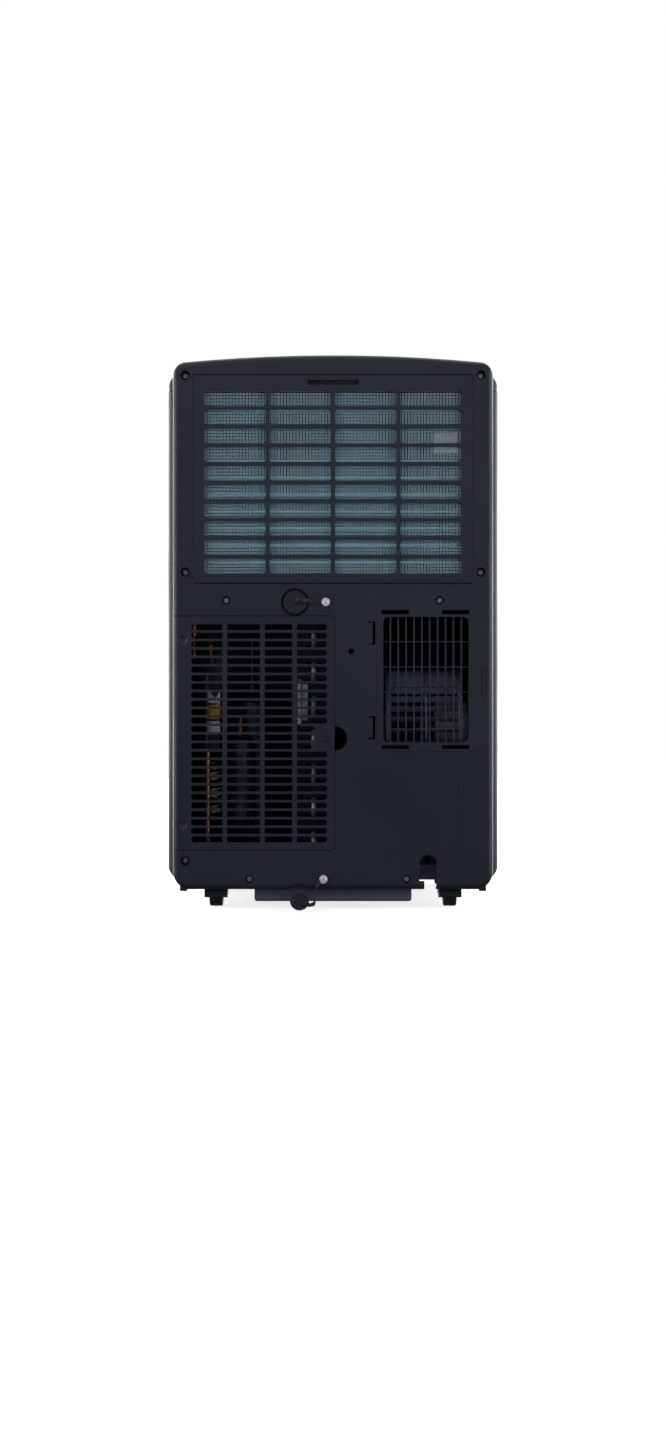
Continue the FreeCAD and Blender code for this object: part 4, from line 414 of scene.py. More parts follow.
@dataclass(frozen=True)
class BareMetal:
    """Plated, drawn or rolled metal that is left bare.

    To the eye it is a coloured gloss with fine marks along the way that it was drawn or rolled, and a duller,
    darker film in places where it has been handled or heated. Every edge is painted whiter, a painted
    highlight where the rounded edges would catch the light.
    """

    name: str
    colour: str
    film_colour: str
    roughness: float
    film_mm: float
    draw: Point = (1.0, 1.0, 1.0)
    metallic: float = 1.0

    def make(self) -> bpy.types.Material:
        """Returns the material."""
        material, tree, place = start(self.name)
        normal, edge = rounded_edges(tree, 0.35)
        film = soft_step(tree, cloud(tree, place, self.film_mm, 5.0), 0.38, 0.68)
        dulled = blend_colours(tree, maths(tree, "MULTIPLY", film, 0.65), linear(self.colour),
                               linear(self.film_colour))
        # Painted highlight: every edge is blended a third of the way to white, as if catching the light.
        bright = blend_colours(tree, maths(tree, "MULTIPLY", edge, 0.35), dulled, linear("ffffff"))
        rough = maths(tree, "ADD", maths(tree, "MULTIPLY", film, 0.18), self.roughness)
        marks = cloud(tree, place, 1.4, 3.0, self.draw)
        raised = bump(tree, marks, 0.25, 0.04, normal)
        return surface(material, {"Base Color": bright, "Metallic": self.metallic, "Roughness": rough,
                                  "Normal": raised})


@dataclass(frozen=True)
class Galvanised:
    """Hot-dip galvanised sheet: pale grey with large soft zinc crystals that differ in shade and gloss."""

    name: str
    light: str
    dark: str
    crystal_mm: float = 9.0

    def make(self) -> bpy.types.Material:
        """Returns the material."""
        material, tree, place = start(self.name)
        normal, _ = rounded_edges(tree, 0.4)
        crystals = add(tree, "TexVoronoi", None, {"Vector": place, "Scale": 1 / (self.crystal_mm * MM)})
        shade = add(tree, "SeparateColor", None, {0: crystals.outputs["Color"]}).outputs[0]
        colour = blend_colours(tree, shade, linear(self.dark), linear(self.light))
        rough = soft_step(tree, shade, 0.0, 1.0, 0.34, 0.52)
        return surface(material, {"Base Color": colour, "Metallic": 0.9, "Roughness": rough,
                                  "Normal": normal})


@dataclass(frozen=True)
class SprayedEnamel:
    """Stoved enamel on pressed steel: a glossy coat with a slight orange peel, and rust freckles at welds."""

    name: str
    colour: str
    freckle: str
    roughness: float = 0.24

    def make(self) -> bpy.types.Material:
        """Returns the material."""
        material, tree, place = start(self.name)
        normal, edge = rounded_edges(tree, 1.0)
        spots = soft_step(tree, cloud(tree, place, 4.0, 6.0), 0.62, 0.72)
        chipped = blend_colours(tree, maths(tree, "MULTIPLY", spots, maths(tree, "ADD", edge, 0.15)),
                                linear(self.colour), linear(self.freckle))
        rough = soft_step(tree, cloud(tree, place, 40.0), 0.3, 0.7, self.roughness, self.roughness + 0.12)
        peel = bump(tree, cloud(tree, place, 3.0, 1.0), 0.25, 0.05, normal)
        return surface(material, {"Base Color": chipped, "Roughness": rough, "Normal": peel, "IOR": 1.5,
                                  "Coat Weight": 0.3})


@dataclass(frozen=True)
class SmokedAcrylic:
    """Tinted acrylic, polished: nearly black, with a deep clear gloss and fine wiping marks."""

    name: str
    colour: str
    lit: str

    def make(self) -> bpy.types.Material:
        """Returns the material."""
        material, tree, place = start(self.name)
        wipes = cloud(tree, place, 14.0, 4.0, (0.3, 1.0, 1.0))
        # Painted sheen: the colour turns lighter along the wiping marks, where the gloss also changes.
        colour = blend_colours(tree, soft_step(tree, wipes, 0.4, 0.8, 0.0, 0.6), linear(self.colour),
                               linear(self.lit))
        rough = soft_step(tree, wipes, 0.35, 0.75, 0.05, 0.16)
        return surface(material, {"Base Color": colour, "Roughness": rough, "IOR": 1.49, "Coat Weight": 0.5})


@dataclass(frozen=True)
class PrintedFilm:
    """Paper or polyester film with a plain print: nearly even, with fibres."""

    name: str
    colour: str
    shade: str
    roughness: float = 0.55

    def make(self) -> bpy.types.Material:
        """Returns the material."""
        material, tree, place = start(self.name)
        fibres = cloud(tree, place, 2.2, 5.0, (0.4, 1.0, 1.0))
        colour = blend_colours(tree, soft_step(tree, fibres, 0.35, 0.75, 0.0, 0.8), linear(self.colour),
                               linear(self.shade))
        raised = bump(tree, fibres, 0.3, 0.03)
        return surface(material, {"Base Color": colour, "Roughness": self.roughness, "Normal": raised,
                                  "IOR": 1.48})


@dataclass(frozen=True)
class PaintedFloor:
    """A plain pale studio floor: smooth matt paint with faint roller marks."""

    name: str = "studio_floor_paint"

    def make(self) -> bpy.types.Material:
        """Returns the material."""
        material, tree, place = start(self.name)
        marks = cloud(tree, place, 300.0, 3.0)
        colour = blend_colours(tree, marks, linear("f4f4f5"), linear("fbfbfb"))
        return surface(material, {"Base Color": colour, "Roughness": 0.8, "IOR": 1.45,
                                  "Emission Color": linear("ffffff"), "Emission Strength": 0.75})


# ---------------------------------------------------------------- meshes
class Mesh:
    """A mesh under construction, in the frame's metres."""

    def __init__(self) -> None:
        """Starts an empty mesh."""
        self.bm = bmesh.new()

    def slab(self, low: Sequence[float], high: Sequence[float], bevel_mm: float = 0.0) -> None:
        """Adds a box between two corners.

        Args:
            low: The lowest corner.
            high: The highest corner.
            bevel_mm: The radius of its rounded edges, or 0 for sharp ones.
        """
        middle = [(a + b) / 2 for a, b in zip(low, high)]
        size = [b - a for a, b in zip(low, high)]
        matrix = Matrix.Translation(middle) @ Matrix.Diagonal((*size, 1.0))
        made = bmesh.ops.create_cube(self.bm, size=1.0, matrix=matrix)
        if bevel_mm:
            edges = list({e for v in made["verts"] for e in v.link_edges})
            bmesh.ops.bevel(self.bm, geom=edges, offset=bevel_mm * MM, segments=2, affect="EDGES",
                            profile=0.5)

    def sweep(self, line: Sequence[Vector], outline: Sequence[Flat], up: Vector,
              closed_ends: bool = True) -> None:
        """Runs an outline along a line.

        Args:
            line: The points of the line.
            outline: The outline's points, (across, up) in metres.
            up: The outline's up direction, nowhere along the line.
            closed_ends: Whether both ends are closed.
        """
        rings = []
        for i, here in enumerate(line):
            run = (line[min(i + 1, len(line) - 1)] - line[max(i - 1, 0)]).normalized()
            across = run.cross(up).normalized()
            top = across.cross(run).normalized()
            rings.append([self.bm.verts.new(here + across * a + top * b) for a, b in outline])
        for first, second in zip(rings, rings[1:]):
            for i in range(len(outline)):
                j = (i + 1) % len(outline)
                self.bm.faces.new((first[i], first[j], second[j], second[i]))
        if closed_ends:
            self.bm.faces.new(rings[0][::-1])
            self.bm.faces.new(rings[-1])

    def piece(self, name: str, material: bpy.types.Material, smooth: bool = False) -> bpy.types.Object:
        """Turns the mesh to an object.

        Args:
            name: The piece's name.
            material: Its finish.
            smooth: Whether its faces are shaded smooth, with sharp edges kept.

        Returns:
            The new object.
        """
        bmesh.ops.remove_doubles(self.bm, verts=self.bm.verts, dist=1e-7)
        bmesh.ops.recalc_face_normals(self.bm, faces=self.bm.faces)
        for face in self.bm.faces:
            face.smooth = smooth
        data = bpy.data.meshes.new(name)
        self.bm.to_mesh(data)
        self.bm.free()
        if smooth:
            data.set_sharp_from_angle(angle=math.radians(40))
        data.materials.append(material)
        made = bpy.data.objects.new(name, data)
        bpy.context.scene.collection.objects.link(made)
        return made


def ring(radius: float, points: int = 12) -> list[Flat]:
    """Returns the points of a circle."""
    turns = [2 * math.pi * i / points for i in range(points)]
    return [(radius * math.cos(t), radius * math.sin(t)) for t in turns]


def smooth_line(points: Sequence[Sequence[float]], steps: int = 10) -> list[Vector]:
    """Runs a smooth line through points.

    Args:
        points: The points, the first and the last among them.
        steps: How many short runs it makes between two points.

    Returns:
        The line's points.
    """
    knots = [Vector(p) for p in points]
    ends = [knots[0] * 2 - knots[1]] + knots + [knots[-1] * 2 - knots[-2]]
    line = []
    for before, a, b, after in zip(ends, ends[1:], ends[2:], ends[3:]):
        for k in range(steps):
            t = k / steps
            line.append(0.5 * ((2 * a) + (b - before) * t + (2 * before - 5 * a + 4 * b - after) * t**2
                               + (3 * a - before - 3 * b + after) * t**3))
    return line + [knots[-1]]


# ---------------------------------------------------------------- sub-assemblies
class Paint:
    """Makes each finish once and puts it on nodes."""

    def __init__(self) -> None:
        """Starts with no finishes."""
        self.made: dict[str, bpy.types.Material] = {}

    def finish(self, finish: Any) -> bpy.types.Material:
        """Returns the material of a finish, made on first use."""
        if finish.name not in self.made:
            self.made[finish.name] = finish.make()
        return self.made[finish.name]

    def cover(self, nodes: Nodes, finish: Any, *names: str) -> None:
        """Puts a finish on CAD nodes.

        Args:
            nodes: Every CAD node by name.
            finish: The finish.
            names: The nodes that get it.
        """
        material = self.finish(finish)
        for name in names:
            nodes[name].data.materials.clear()
            nodes[name].data.materials.append(material)
        LOG.info("finish %s on %d nodes", finish.name, len(names))


@dataclass
class Casing:
    """The moulded casing: the front case, the rear shell, the grips and the blank plates on them."""

    badge_width: float = 57 * MM
    badge_height: float = 24 * MM
    badge_rise: float = 0.9 * MM
    badge_z: float = 0.600
    badge_sink: float = 0.05 * MM
    front_bow: float = 1.29            # how fast the bowed front falls away from its middle, per metre

    def dress(self, nodes: Nodes, paint: Paint) -> None:
        """Gives the CAD mouldings their finishes."""
        # The shell's low colour is painted shade, darker and bluer near the floor.
        shell = MouldedPlastic("moulded_abs_navy_black", "1a1e2a", "303644", 0.52, painted_low_shade="161a2b")
        case = MouldedPlastic("moulded_abs_slate", "252e36", "434f59", 0.42, edge_share=0.12)
        paint.cover(nodes, shell, "rear_shell", "side_clips", "upper_filter_frame", "lower_filter_door",
                    "exhaust_grille", "side_handles", "cord_inlet", "caster_sockets")
        paint.cover(nodes, case, "front_case", "louver_flap")

    def build(self, paint: Paint) -> None:
        """Builds the blank badge plate on the bowed front."""
        low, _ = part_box("front_case")
        front = Mesh()
        half, rows = self.badge_width / 2, 8
        back_y = low.y + self.badge_sink
        xs = [-half + self.badge_width * i / rows for i in range(rows + 1)]
        line = [Vector((x, back_y + self.front_bow * x * x, self.badge_z)) for x in xs]
        h, t = self.badge_height / 2, self.badge_rise
        outline = [(0.0, -h), (t * 0.6, -h), (t, -h + t), (t, h - t), (t * 0.6, h), (0.0, h)]
        front.sweep(line, [(a - 0.4 * MM, b) for a, b in outline], Vector((0, 0, 1)))
        plate = front.piece("front_badge_blank", paint.finish(BareMetal(
            "brushed_aluminium_plate", "c9ccd0", "9aa0a6", 0.34, 25.0, (0.05, 1.0, 1.0))), smooth=True)
        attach(plate, "unit")
        LOG.info("casing: %s", plate.name)


class Lie(Enum):
    """Which way a coil's tubes run."""

    ACROSS = 0
    FORE_AND_AFT = 1


@dataclass
class FinPack:
    """A tube-and-fin coil: thin fins side by side, tube rows through them, and two end plates."""

    node: str
    name: str
    lie: Lie
    rows: int
    row_pitch: float = 21.4 * MM
    fin_pitch: float = 2.0 * MM        # real fins stand 1.4 mm apart, too fine to show
    fin_thick: float = 0.8 * MM        # thicker than real ones, as they stand further apart
    lip_height: float = 2.6 * MM
    tube_radius: float = 3.5 * MM
    plate: float = 1.5 * MM
    plate_margin: float = 4.0 * MM
    foot: Flat = (13.0 * MM, 12.5 * MM)     # how high the block stands on its plates, by the way it lies
    columns: tuple[float, ...] = (0.27, 0.73)

    def row_heights(self) -> list[float]:
        """Returns the height of each tube row."""
        low, high = self.block()
        first = (low.z + high.z) / 2 - (self.rows - 1) * self.row_pitch / 2
        return [first + i * self.row_pitch for i in range(self.rows)]

    def block(self) -> tuple[Vector, Vector]:
        """Returns the two corners of the finned block, inside the end plates."""
        low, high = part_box(self.node)
        along, across = self.lie.value, 1 - self.lie.value
        low, high = low.copy(), high.copy()
        low[along] += self.plate
        high[along] -= self.plate
        low[across] += self.plate_margin
        high[across] -= self.plate_margin
        high.z -= self.plate_margin
        low.z += self.foot[self.lie.value]
        return low, high

    def build(self, paint: Paint, fins: Any, metal: Any) -> None:
        """Builds the coil in place of its plain block.

        Args:
            paint: The paint shop.
            fins: The finish of the fins.
            metal: The finish of the end plates and tubes.
        """
        low, high = self.block()
        along, across = self.lie.value, 1 - self.lie.value
        count = int((high[along] - low[along]) / self.fin_pitch)
        stack = Mesh()
        for i in range(count + 1):
            place = low[along] + (high[along] - low[along] - self.fin_thick) * i / count
            a, b = low.copy(), high.copy()
            a[along], b[along] = place, place + self.fin_thick
            stack.slab(a, b)
        pack = stack.piece(self.name + "_fins", paint.finish(fins))
        frame = Mesh()
        outer_low, outer_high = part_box(self.node)
        for place in (outer_low[along], outer_high[along] - self.plate):
            a, b = outer_low.copy(), outer_high.copy()
            a[along], b[along] = place, place + self.plate
            frame.slab(a, b)
        for z in self.row_heights():
            for share in self.columns:
                side = low[across] + share * (high[across] - low[across])
                ends = []
                for place in (outer_low[along], outer_high[along]):
                    point = Vector((0, 0, z))
                    point[along], point[across] = place, side
                    ends.append(point)
                frame.sweep(ends, ring(self.tube_radius, 10), Vector((0, 0, 1)))
        plates = frame.piece(self.name + "_plates", paint.finish(metal), smooth=True)
        pieces = [pack, plates]
        if self.lie is Lie.ACROSS:
            pieces.append(self.build_lips(paint, low, high))
        for made in pieces:
            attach(made, "unit")
        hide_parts(self.node)
        LOG.info("%s: %d fins, %d tube rows", self.name, count + 1, self.rows)

    def build_lips(self, paint: Paint, low: Vector, high: Vector) -> bpy.types.Object:
        """Builds the rolled lips of the collars above each tube row, coloured near white as painted glint
        lines.

        Args:
            paint: The paint shop.
            low: The finned block's lowest corner.
            high: The finned block's highest corner.

        Returns:
            The new piece.
        """
        lips = Mesh()
        for z in self.row_heights():
            top = z + self.lip_height * 1.3
            lips.slab((low.x, high.y - 0.6 * MM, top - self.lip_height),
                      (high.x, high.y + 0.2 * MM, top), 0.3)
        # Painted glint: the lips are a pale near-white cyan, much lighter than the fins' coat, to read as
        # caught light.
        finish = BareMetal("collar_lips_painted_glint", "a8f0ff", "8ce6ff", 0.34, 16.0, (0.1, 1.0, 1.0), 0.15)
        return lips.piece(self.name + "_lips", paint.finish(finish))


@dataclass
class ColdCircuit:
    """The refrigeration circuit: two coils, the compressor, its pipes, tags and capillary coil."""

    capillary_x: float = 152 * MM
    capillary_y: float = 104 * MM
    capillary_low: float = 118 * MM
    capillary_high: float = 182 * MM
    capillary_radius: float = 9 * MM
    capillary_tube: float = 1.1 * MM
    capillary_turns: int = 9
    tag_x: float = 152 * MM
    tag_y: float = 118 * MM
    tag_radius: float = 8.5 * MM
    sticker_low: Flat = (-0.161, 0.576)
    sticker_high: Flat = (-0.128, 0.601)
    can_radius: float = 50.3 * MM      # the compressor's can with its label, and its middle's y
    can_y: float = -0.045
    clamp_low: float = 237 * MM
    clamp_high: float = 283 * MM
    glint_above: float = 2.4 * MM     # the painted glint line, where light would catch a collar's upper lip, above its tube's middle

    def dress(self, nodes: Nodes, paint: Paint) -> None:
        """Gives the circuit's CAD pieces their finishes."""
        copper = BareMetal("drawn_copper", "b06f52", "4a2c22", 0.30, 14.0, (1.0, 1.0, 0.05), 0.9)
        enamel = SprayedEnamel("stoved_black_enamel", "1c1d20", "6b3a22")
        sheet = Galvanised("galvanised_sheet", "a9acb0", "6d7175")
        tinned = BareMetal("oxidised_copper_bends", "a39a94", "5a504a", 0.3, 9.0, metallic=0.7)
        paint.cover(nodes, copper, "refrigerant_pipes")
        paint.cover(nodes, tinned, "coil_return_bends")
        paint.cover(nodes, enamel, "compressor", "accumulator")
        paint.cover(nodes, sheet, "base_pan")

    def build(self, paint: Paint) -> None:
        """Builds the coils, the capillary coil, the tags and the plain labels."""
        # The lower coil's end plates are painted near black: painted shade for the dark inside of the lower
        # grille, not the sheet's own colour.
        plates = {Lie.ACROSS: Galvanised("galvanised_end_plate", "9a9ea2", "6c7074", 6.0),
                  Lie.FORE_AND_AFT: Galvanised("end_plate_painted_shade", "2c2e31", "1d1f22", 6.0)}
        cold = FinPack("evaporator_coil", "evaporator", Lie.ACROSS, 10)
        hot = FinPack("condenser_coil", "condenser", Lie.FORE_AND_AFT, 14)
        for coil, name, body, glint, metallic in (
                (cold, "coated_aluminium_fins", "62bdd8", "ccfaff", 0.1),
                (hot, "mill_aluminium_fins", "5b5f62", "8d9194", 0.9)):
            glint_line = coil.row_heights()[0] + self.glint_above
            finish = CoatedFins(name, body, glint, metallic, 0.36, coil.row_pitch / MM, glint_line)
            coil.build(paint, finish, plates[coil.lie])
        self.build_capillary(paint)
        self.build_tags(paint)
        self.build_clamp(paint)
        self.build_baffle(paint)
        self.build_labels(paint)

    def build_capillary(self, paint: Paint) -> None:
        """Builds the thin coiled tube that meters the refrigerant."""
        steps = 14 * self.capillary_turns
        rise = self.capillary_high - self.capillary_low
        line = []
        for i in range(steps + 1):
            turn = 2 * math.pi * self.capillary_turns * i / steps
            line.append(Vector((self.capillary_x + self.capillary_radius * math.cos(turn),
                                self.capillary_y + self.capillary_radius * math.sin(turn),
                                self.capillary_low + rise * i / steps)))
        coil = Mesh()
        coil.sweep(line, ring(self.capillary_tube, 8), Vector((0, 0, 1)))
        made = coil.piece("capillary_coil", paint.finish(BareMetal(
            "tinned_copper", "8e8a86", "4a4440", 0.3, 8.0)), smooth=True)
        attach(made, "unit")
        LOG.info("capillary coil: %d turns", self.capillary_turns)

    def build_tags(self, paint: Paint) -> None:
        """Builds the plain wrapped tags on the pipe at the back corner."""
        white = PrintedFilm("white_vinyl_tag", "c6c9c9", "8f9494")
        yellow = PrintedFilm("yellow_vinyl_tag", "b79a22", "6f5c12")
        places = ((0.266, 0.007, white), (0.248, 0.009, yellow), (0.229, 0.007, white))
        for i, (z, half, finish) in enumerate(places, 1):
            tag = Mesh()
            line = [Vector((self.tag_x, self.tag_y, z - half)), Vector((self.tag_x, self.tag_y, z + half))]
            tag.sweep(line, ring(self.tag_radius, 20), Vector((0, 1, 0)))
            made = tag.piece(f"pipe_tag_{i}", paint.finish(finish), smooth=True)
            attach(made, "unit")
        sleeve = Mesh()
        line = smooth_line([(self.tag_x, self.tag_y, 0.200), (self.tag_x, self.tag_y, 0.245),
                            (self.tag_x - 0.002, self.tag_y, 0.290),
                            (self.tag_x - 0.012, self.tag_y - 0.02, 0.335)])
        sleeve.sweep(line, ring(self.tag_radius - 1.2 * MM, 16), Vector((0, 1, 0)))
        made = sleeve.piece("pipe_foam_sleeve", paint.finish(MouldedRubber(
            "black_foam_sleeve", "131417", "2b2d31", 0.85)), smooth=True)
        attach(made, "unit")
        LOG.info("pipe tags: %d", len(places))

    def build_clamp(self, paint: Paint) -> None:
        """Builds the plated clamp that holds the temperature probe to the coil's end plate."""
        _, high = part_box("condenser_coil")
        x0, x1 = high.x - 12 * MM, high.x + 3 * MM
        clamp = Mesh()
        clamp.slab((x0, high.y + 0.1 * MM, self.clamp_low), (x1, high.y + 5 * MM, self.clamp_high), 0.8)
        probe = [Vector((x0 + 10 * MM, high.y + 6 * MM, z))
                 for z in (self.clamp_low - 4 * MM, self.clamp_high + 6 * MM)]
        clamp.sweep(probe, ring(3 * MM), Vector((0, 1, 0)))
        made = clamp.piece("coil_probe_clamp", paint.finish(BareMetal(
            "plated_clamp_steel", "b4b7bb", "6e7175", 0.3, 12.0, metallic=0.6)), smooth=True)
        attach(made, "unit")
        LOG.info("probe clamp: %s", made.name)

    def build_baffle(self, paint: Paint) -> None:
        """Builds the grey sheet that stops air from passing beside the upper coil's bends."""
        low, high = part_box("evaporator_coil")
        sheet = Mesh()
        sheet.slab((high.x + 0.3 * MM, high.y + 1.2 * MM, low.z + 8 * MM),
                   (high.x + 14 * MM, high.y + 1.9 * MM, high.z - 2 * MM), 0.2)
        made = sheet.piece("coil_side_baffle", paint.finish(Galvanised(
            "galvanised_baffle", "8e9599", "767c80", 7.0)))
        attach(made, "unit")
        LOG.info("baffle: %s", made.name)

    def build_labels(self, paint: Paint) -> None:
        """Builds the blank sticker on the upper coil and the blank plate on the compressor."""
        _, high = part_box("evaporator_coil")
        front = high.y - 4.0 * MM
        label = Mesh()
        (x0, z0), (x1, z1) = self.sticker_low, self.sticker_high
        label.slab((x0, front + 0.1 * MM, z0), (x1, front + 0.5 * MM, z1), 0.15)
        made = label.piece("coil_sticker_blank", paint.finish(PrintedFilm(
            "white_paper_sticker", "ffffff", "eef0f0")))
        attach(made, "unit")
        low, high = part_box("compressor")
        middle_x, level = (low.x + high.x) / 2, low.z + 0.4 * (high.z - low.z)
        wrap = Mesh()
        turns = [math.radians(200 + 5 * i) for i in range(17)]
        line = [Vector((middle_x + self.can_radius * math.cos(t), self.can_y + self.can_radius * math.sin(t),
                        level)) for t in turns]
        wrap.sweep(line, [(-0.3 * MM, -0.02), (0.2 * MM, -0.02), (0.2 * MM, 0.02), (-0.3 * MM, 0.02)],
                   Vector((0, 0, 1)))
        made = wrap.piece("compressor_label_blank", paint.finish(PrintedFilm(
            "silver_polyester_label", "b9bcbf", "9a9ea2", 0.35)), smooth=True)
        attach(made, "unit")
        LOG.info("labels: coil sticker and compressor plate, both blank")


@dataclass
class Filters:
    """The upper door's woven dust screen and the near-black sheet in its finger grip, which is painted shade
    for the slot.
    """

    grip_half: float = 31.6 * MM
    grip_height: float = 5.6 * MM
    grip_below_top: float = 6.7 * MM
    grip_depth: float = 4.4 * MM

    def dress(self, nodes: Nodes, paint: Paint) -> None:
        """Gives the screen its weave."""
        screen = WovenScreen("woven_nylon_screen", "a0b2b8", "b8c2c4")
        paint.cover(nodes, screen, "upper_filter_mesh")

    def build(self, paint: Paint) -> None:
        """Builds the near-black sheet at the bottom of the finger grip, painted shade in the slot."""
        _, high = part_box("upper_filter_frame")
        top = high.z - self.grip_below_top
        back = high.y - self.grip_depth
        # Painted shade: a near-black sheet put in the grip's recess to make the slot read dark.
        shade_sheet = Mesh()
        shade_sheet.slab((-self.grip_half, back, top - self.grip_height), (self.grip_half, back + 0.3 * MM, top))
        made = shade_sheet.piece("upper_grip_shade_sheet", paint.finish(MouldedRubber(
            "grip_painted_shade_black", "08090b", "121316", 0.95)))
        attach(made, "upper_filter")
        LOG.info("grip insert: %s", made.name)


@dataclass
class AirPath:
    """The blowers, their scroll housings, the outlet duct and its vanes."""

    def dress(self, nodes: Nodes, paint: Paint) -> None:
        """Gives the air path's CAD pieces their finishes."""
        duct = MouldedPlastic("moulded_pp_black", "15161a", "2a2d33", 0.55)
        scroll = MouldedPlastic("moulded_pp_charcoal", "24272e", "3c4048", 0.52)
        blades = MouldedPlastic("moulded_blower_blades", "7c8392", "9aa1b0", 0.42)
        pan = MouldedPlastic("moulded_tray_grey", "4c5164", "676d80", 0.50)
        motor = SprayedEnamel("sprayed_motor_grey", "85888c", "6b3a22", 0.35)
        paint.cover(nodes, duct, "outlet_duct", "vane_link", *(f"vane_{i}" for i in range(1, 6)))
        paint.cover(nodes, scroll, "exhaust_housing", "indoor_housing")
        paint.cover(nodes, blades, "exhaust_wheel", "indoor_wheel")
        paint.cover(nodes, pan, "drip_tray", "deck_tray", "drain_spouts")
        paint.cover(nodes, motor, "fan_motors", "louver_motor")


@dataclass
class Fixings:
    """Screws, casters, mounts and the boxes of electrics."""

    def dress(self, nodes: Nodes, paint: Paint) -> None:
        """Gives the small CAD pieces their finishes."""
        zinc = BareMetal("zinc_plated_steel", "c2c5c9", "85888c", 0.34, 3.0, metallic=0.55)
        bright = BareMetal("bright_zinc_steel", "ffffff", "e2e4e6", 0.25, 3.0, metallic=0.3)
        blackened = BareMetal("blackened_steel", "2e3036", "17181b", 0.4, 3.0, metallic=0.6)
        fork = MouldedPlastic("moulded_nylon_black", "121316", "2a2c30", 0.42)
        tread = MouldedPlastic("moulded_caster_wheel", "1b1b1f", "33343a", 0.50)
        board = PrintedFilm("solder_masked_board", "2f5a3a", "234a2e", 0.3)
        cover = Galvanised("plated_control_box", "b9bcbf", "8d9195", 7.0)
        corners = [f"{end}_{side}" for end in ("rear", "front") for side in ("left", "right")]
        paint.cover(nodes, zinc, "shell_screws")
        paint.cover(nodes, blackened, "door_screw")
        paint.cover(nodes, bright, "strap_screws")
        paint.cover(nodes, fork, *(f"caster_fork_{corner}" for corner in corners))
        paint.cover(nodes, tread, *(f"caster_wheel_{corner}" for corner in corners))
        paint.cover(nodes, board, "control_board")
        paint.cover(nodes, cover, "control_box")


TPR = MouldedRubber("moulded_tpr_black", "101115", "2a2c32")


@dataclass
class Drains:
    """The two drain plugs and the rubber straps that keep them."""

    width: float = 4.6 * MM
    thick: float = 1.6 * MM
    upper_screw: Flat = (9.1 * MM, 387.0 * MM)
    lower_screw: Flat = (12.0 * MM, 39.5 * MM)
    screw_face: float = 13.0 * MM      # how far the face under the screws stands behind the pan

    def dress(self, nodes: Nodes, paint: Paint) -> None:
        """Gives the plugs and the compressor's mounts their rubber."""
        paint.cover(nodes, TPR, "upper_drain_plug", "lower_drain_plug", "compressor_mounts")

    def strap(self, name: str, points: Sequence[Sequence[float]], paint: Paint) -> bpy.types.Object:
        """Builds one strap with rounded edges.

        Args:
            name: The piece's name.
            points: The line that it follows, from the plug to past its screw.
            paint: The paint shop.

        Returns:
            The strap.
        """
        w, t = self.width / 2, self.thick / 2
        outline = [(-t, -w * 0.7), (-t * 0.6, -w), (t * 0.6, -w), (t, -w * 0.7),
                   (t, w * 0.7), (t * 0.6, w), (-t * 0.6, w), (-t, w * 0.7)]
        band = Mesh()
        band.sweep(smooth_line(points, 9), outline, Vector((0, 0, 1)))
        return band.piece(name, paint.finish(TPR), smooth=True)

    def build(self, paint: Paint) -> None:
        """Builds both straps in place of their straight CAD stand-ins."""
        plug_low, plug_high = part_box("upper_drain_plug")
        plug = (plug_low + plug_high) / 2
        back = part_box("base_pan")[1].y + self.screw_face
        self.build_upper(paint, plug, plug_high.y, back)
        self.build_lower(paint, back)

    def build_upper(self, paint: Paint, plug: Vector, plug_y: float, back: float) -> None:
        """Builds the upper strap, which bows out of the recess and over to its screw."""
        x1, z1 = self.upper_screw
        lie = back + self.thick * 0.55
        points = [(plug.x, plug_y - 0.4 * MM, plug.z),
                  (plug.x - 3 * MM, plug_y + 2.8 * MM, plug.z + 2.5 * MM),
                  (plug.x - 9 * MM, plug_y + 3.4 * MM, plug.z + 3.0 * MM),
                  (plug.x - 17 * MM, lie + 1.4 * MM, z1 + 1.5 * MM),
                  (plug.x - 25 * MM, lie, z1), (x1 + 3 * MM, lie, z1), (x1 - 6.5 * MM, lie, z1)]
        strap = self.strap("upper_drain_strap_moulded", points, paint)
        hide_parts("upper_drain_strap")
        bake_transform(strap)
        LOG.info("strap: %s", strap.name)

    def build_lower(self, paint: Paint, back: float) -> None:
        """Builds the lower strap, which loops down, round and back up to its screw."""
        low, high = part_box("lower_drain_plug")
        plug = (low + high) / 2
        x1, z1 = self.lower_screw
        lie = back + self.thick * 0.55
        far = high.y - self.thick * 0.6
        points = [(plug.x + 2 * MM, far, plug.z), (plug.x - 8 * MM, far, plug.z - 4.5 * MM),
                  (plug.x - 17 * MM, far - 1 * MM, plug.z - 4.0 * MM),
                  (x1 + 10.5 * MM, far - 4 * MM, plug.z + 1.5 * MM),
                  (x1 + 9.5 * MM, lie + 7 * MM, plug.z + 11 * MM),
                  (x1 + 6.5 * MM, lie + 2.2 * MM, z1 - 6.5 * MM),
                  (x1, lie, z1), (x1 - 9 * MM, lie + 0.6 * MM, z1 + 3.5 * MM)]
        strap = self.strap("lower_drain_strap_moulded", points, paint)
        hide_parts("lower_drain_strap")
        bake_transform(strap)
        LOG.info("strap: %s", strap.name)


class Icon(Enum):
    """What a button does, which is what its mark shows."""

    TIMER = "button_timer"
    POWER = "button_power"
    WARMER = "button_warmer"
    COOLER = "button_cooler"
    MODE = "button_mode"
    FAN = "button_fan"


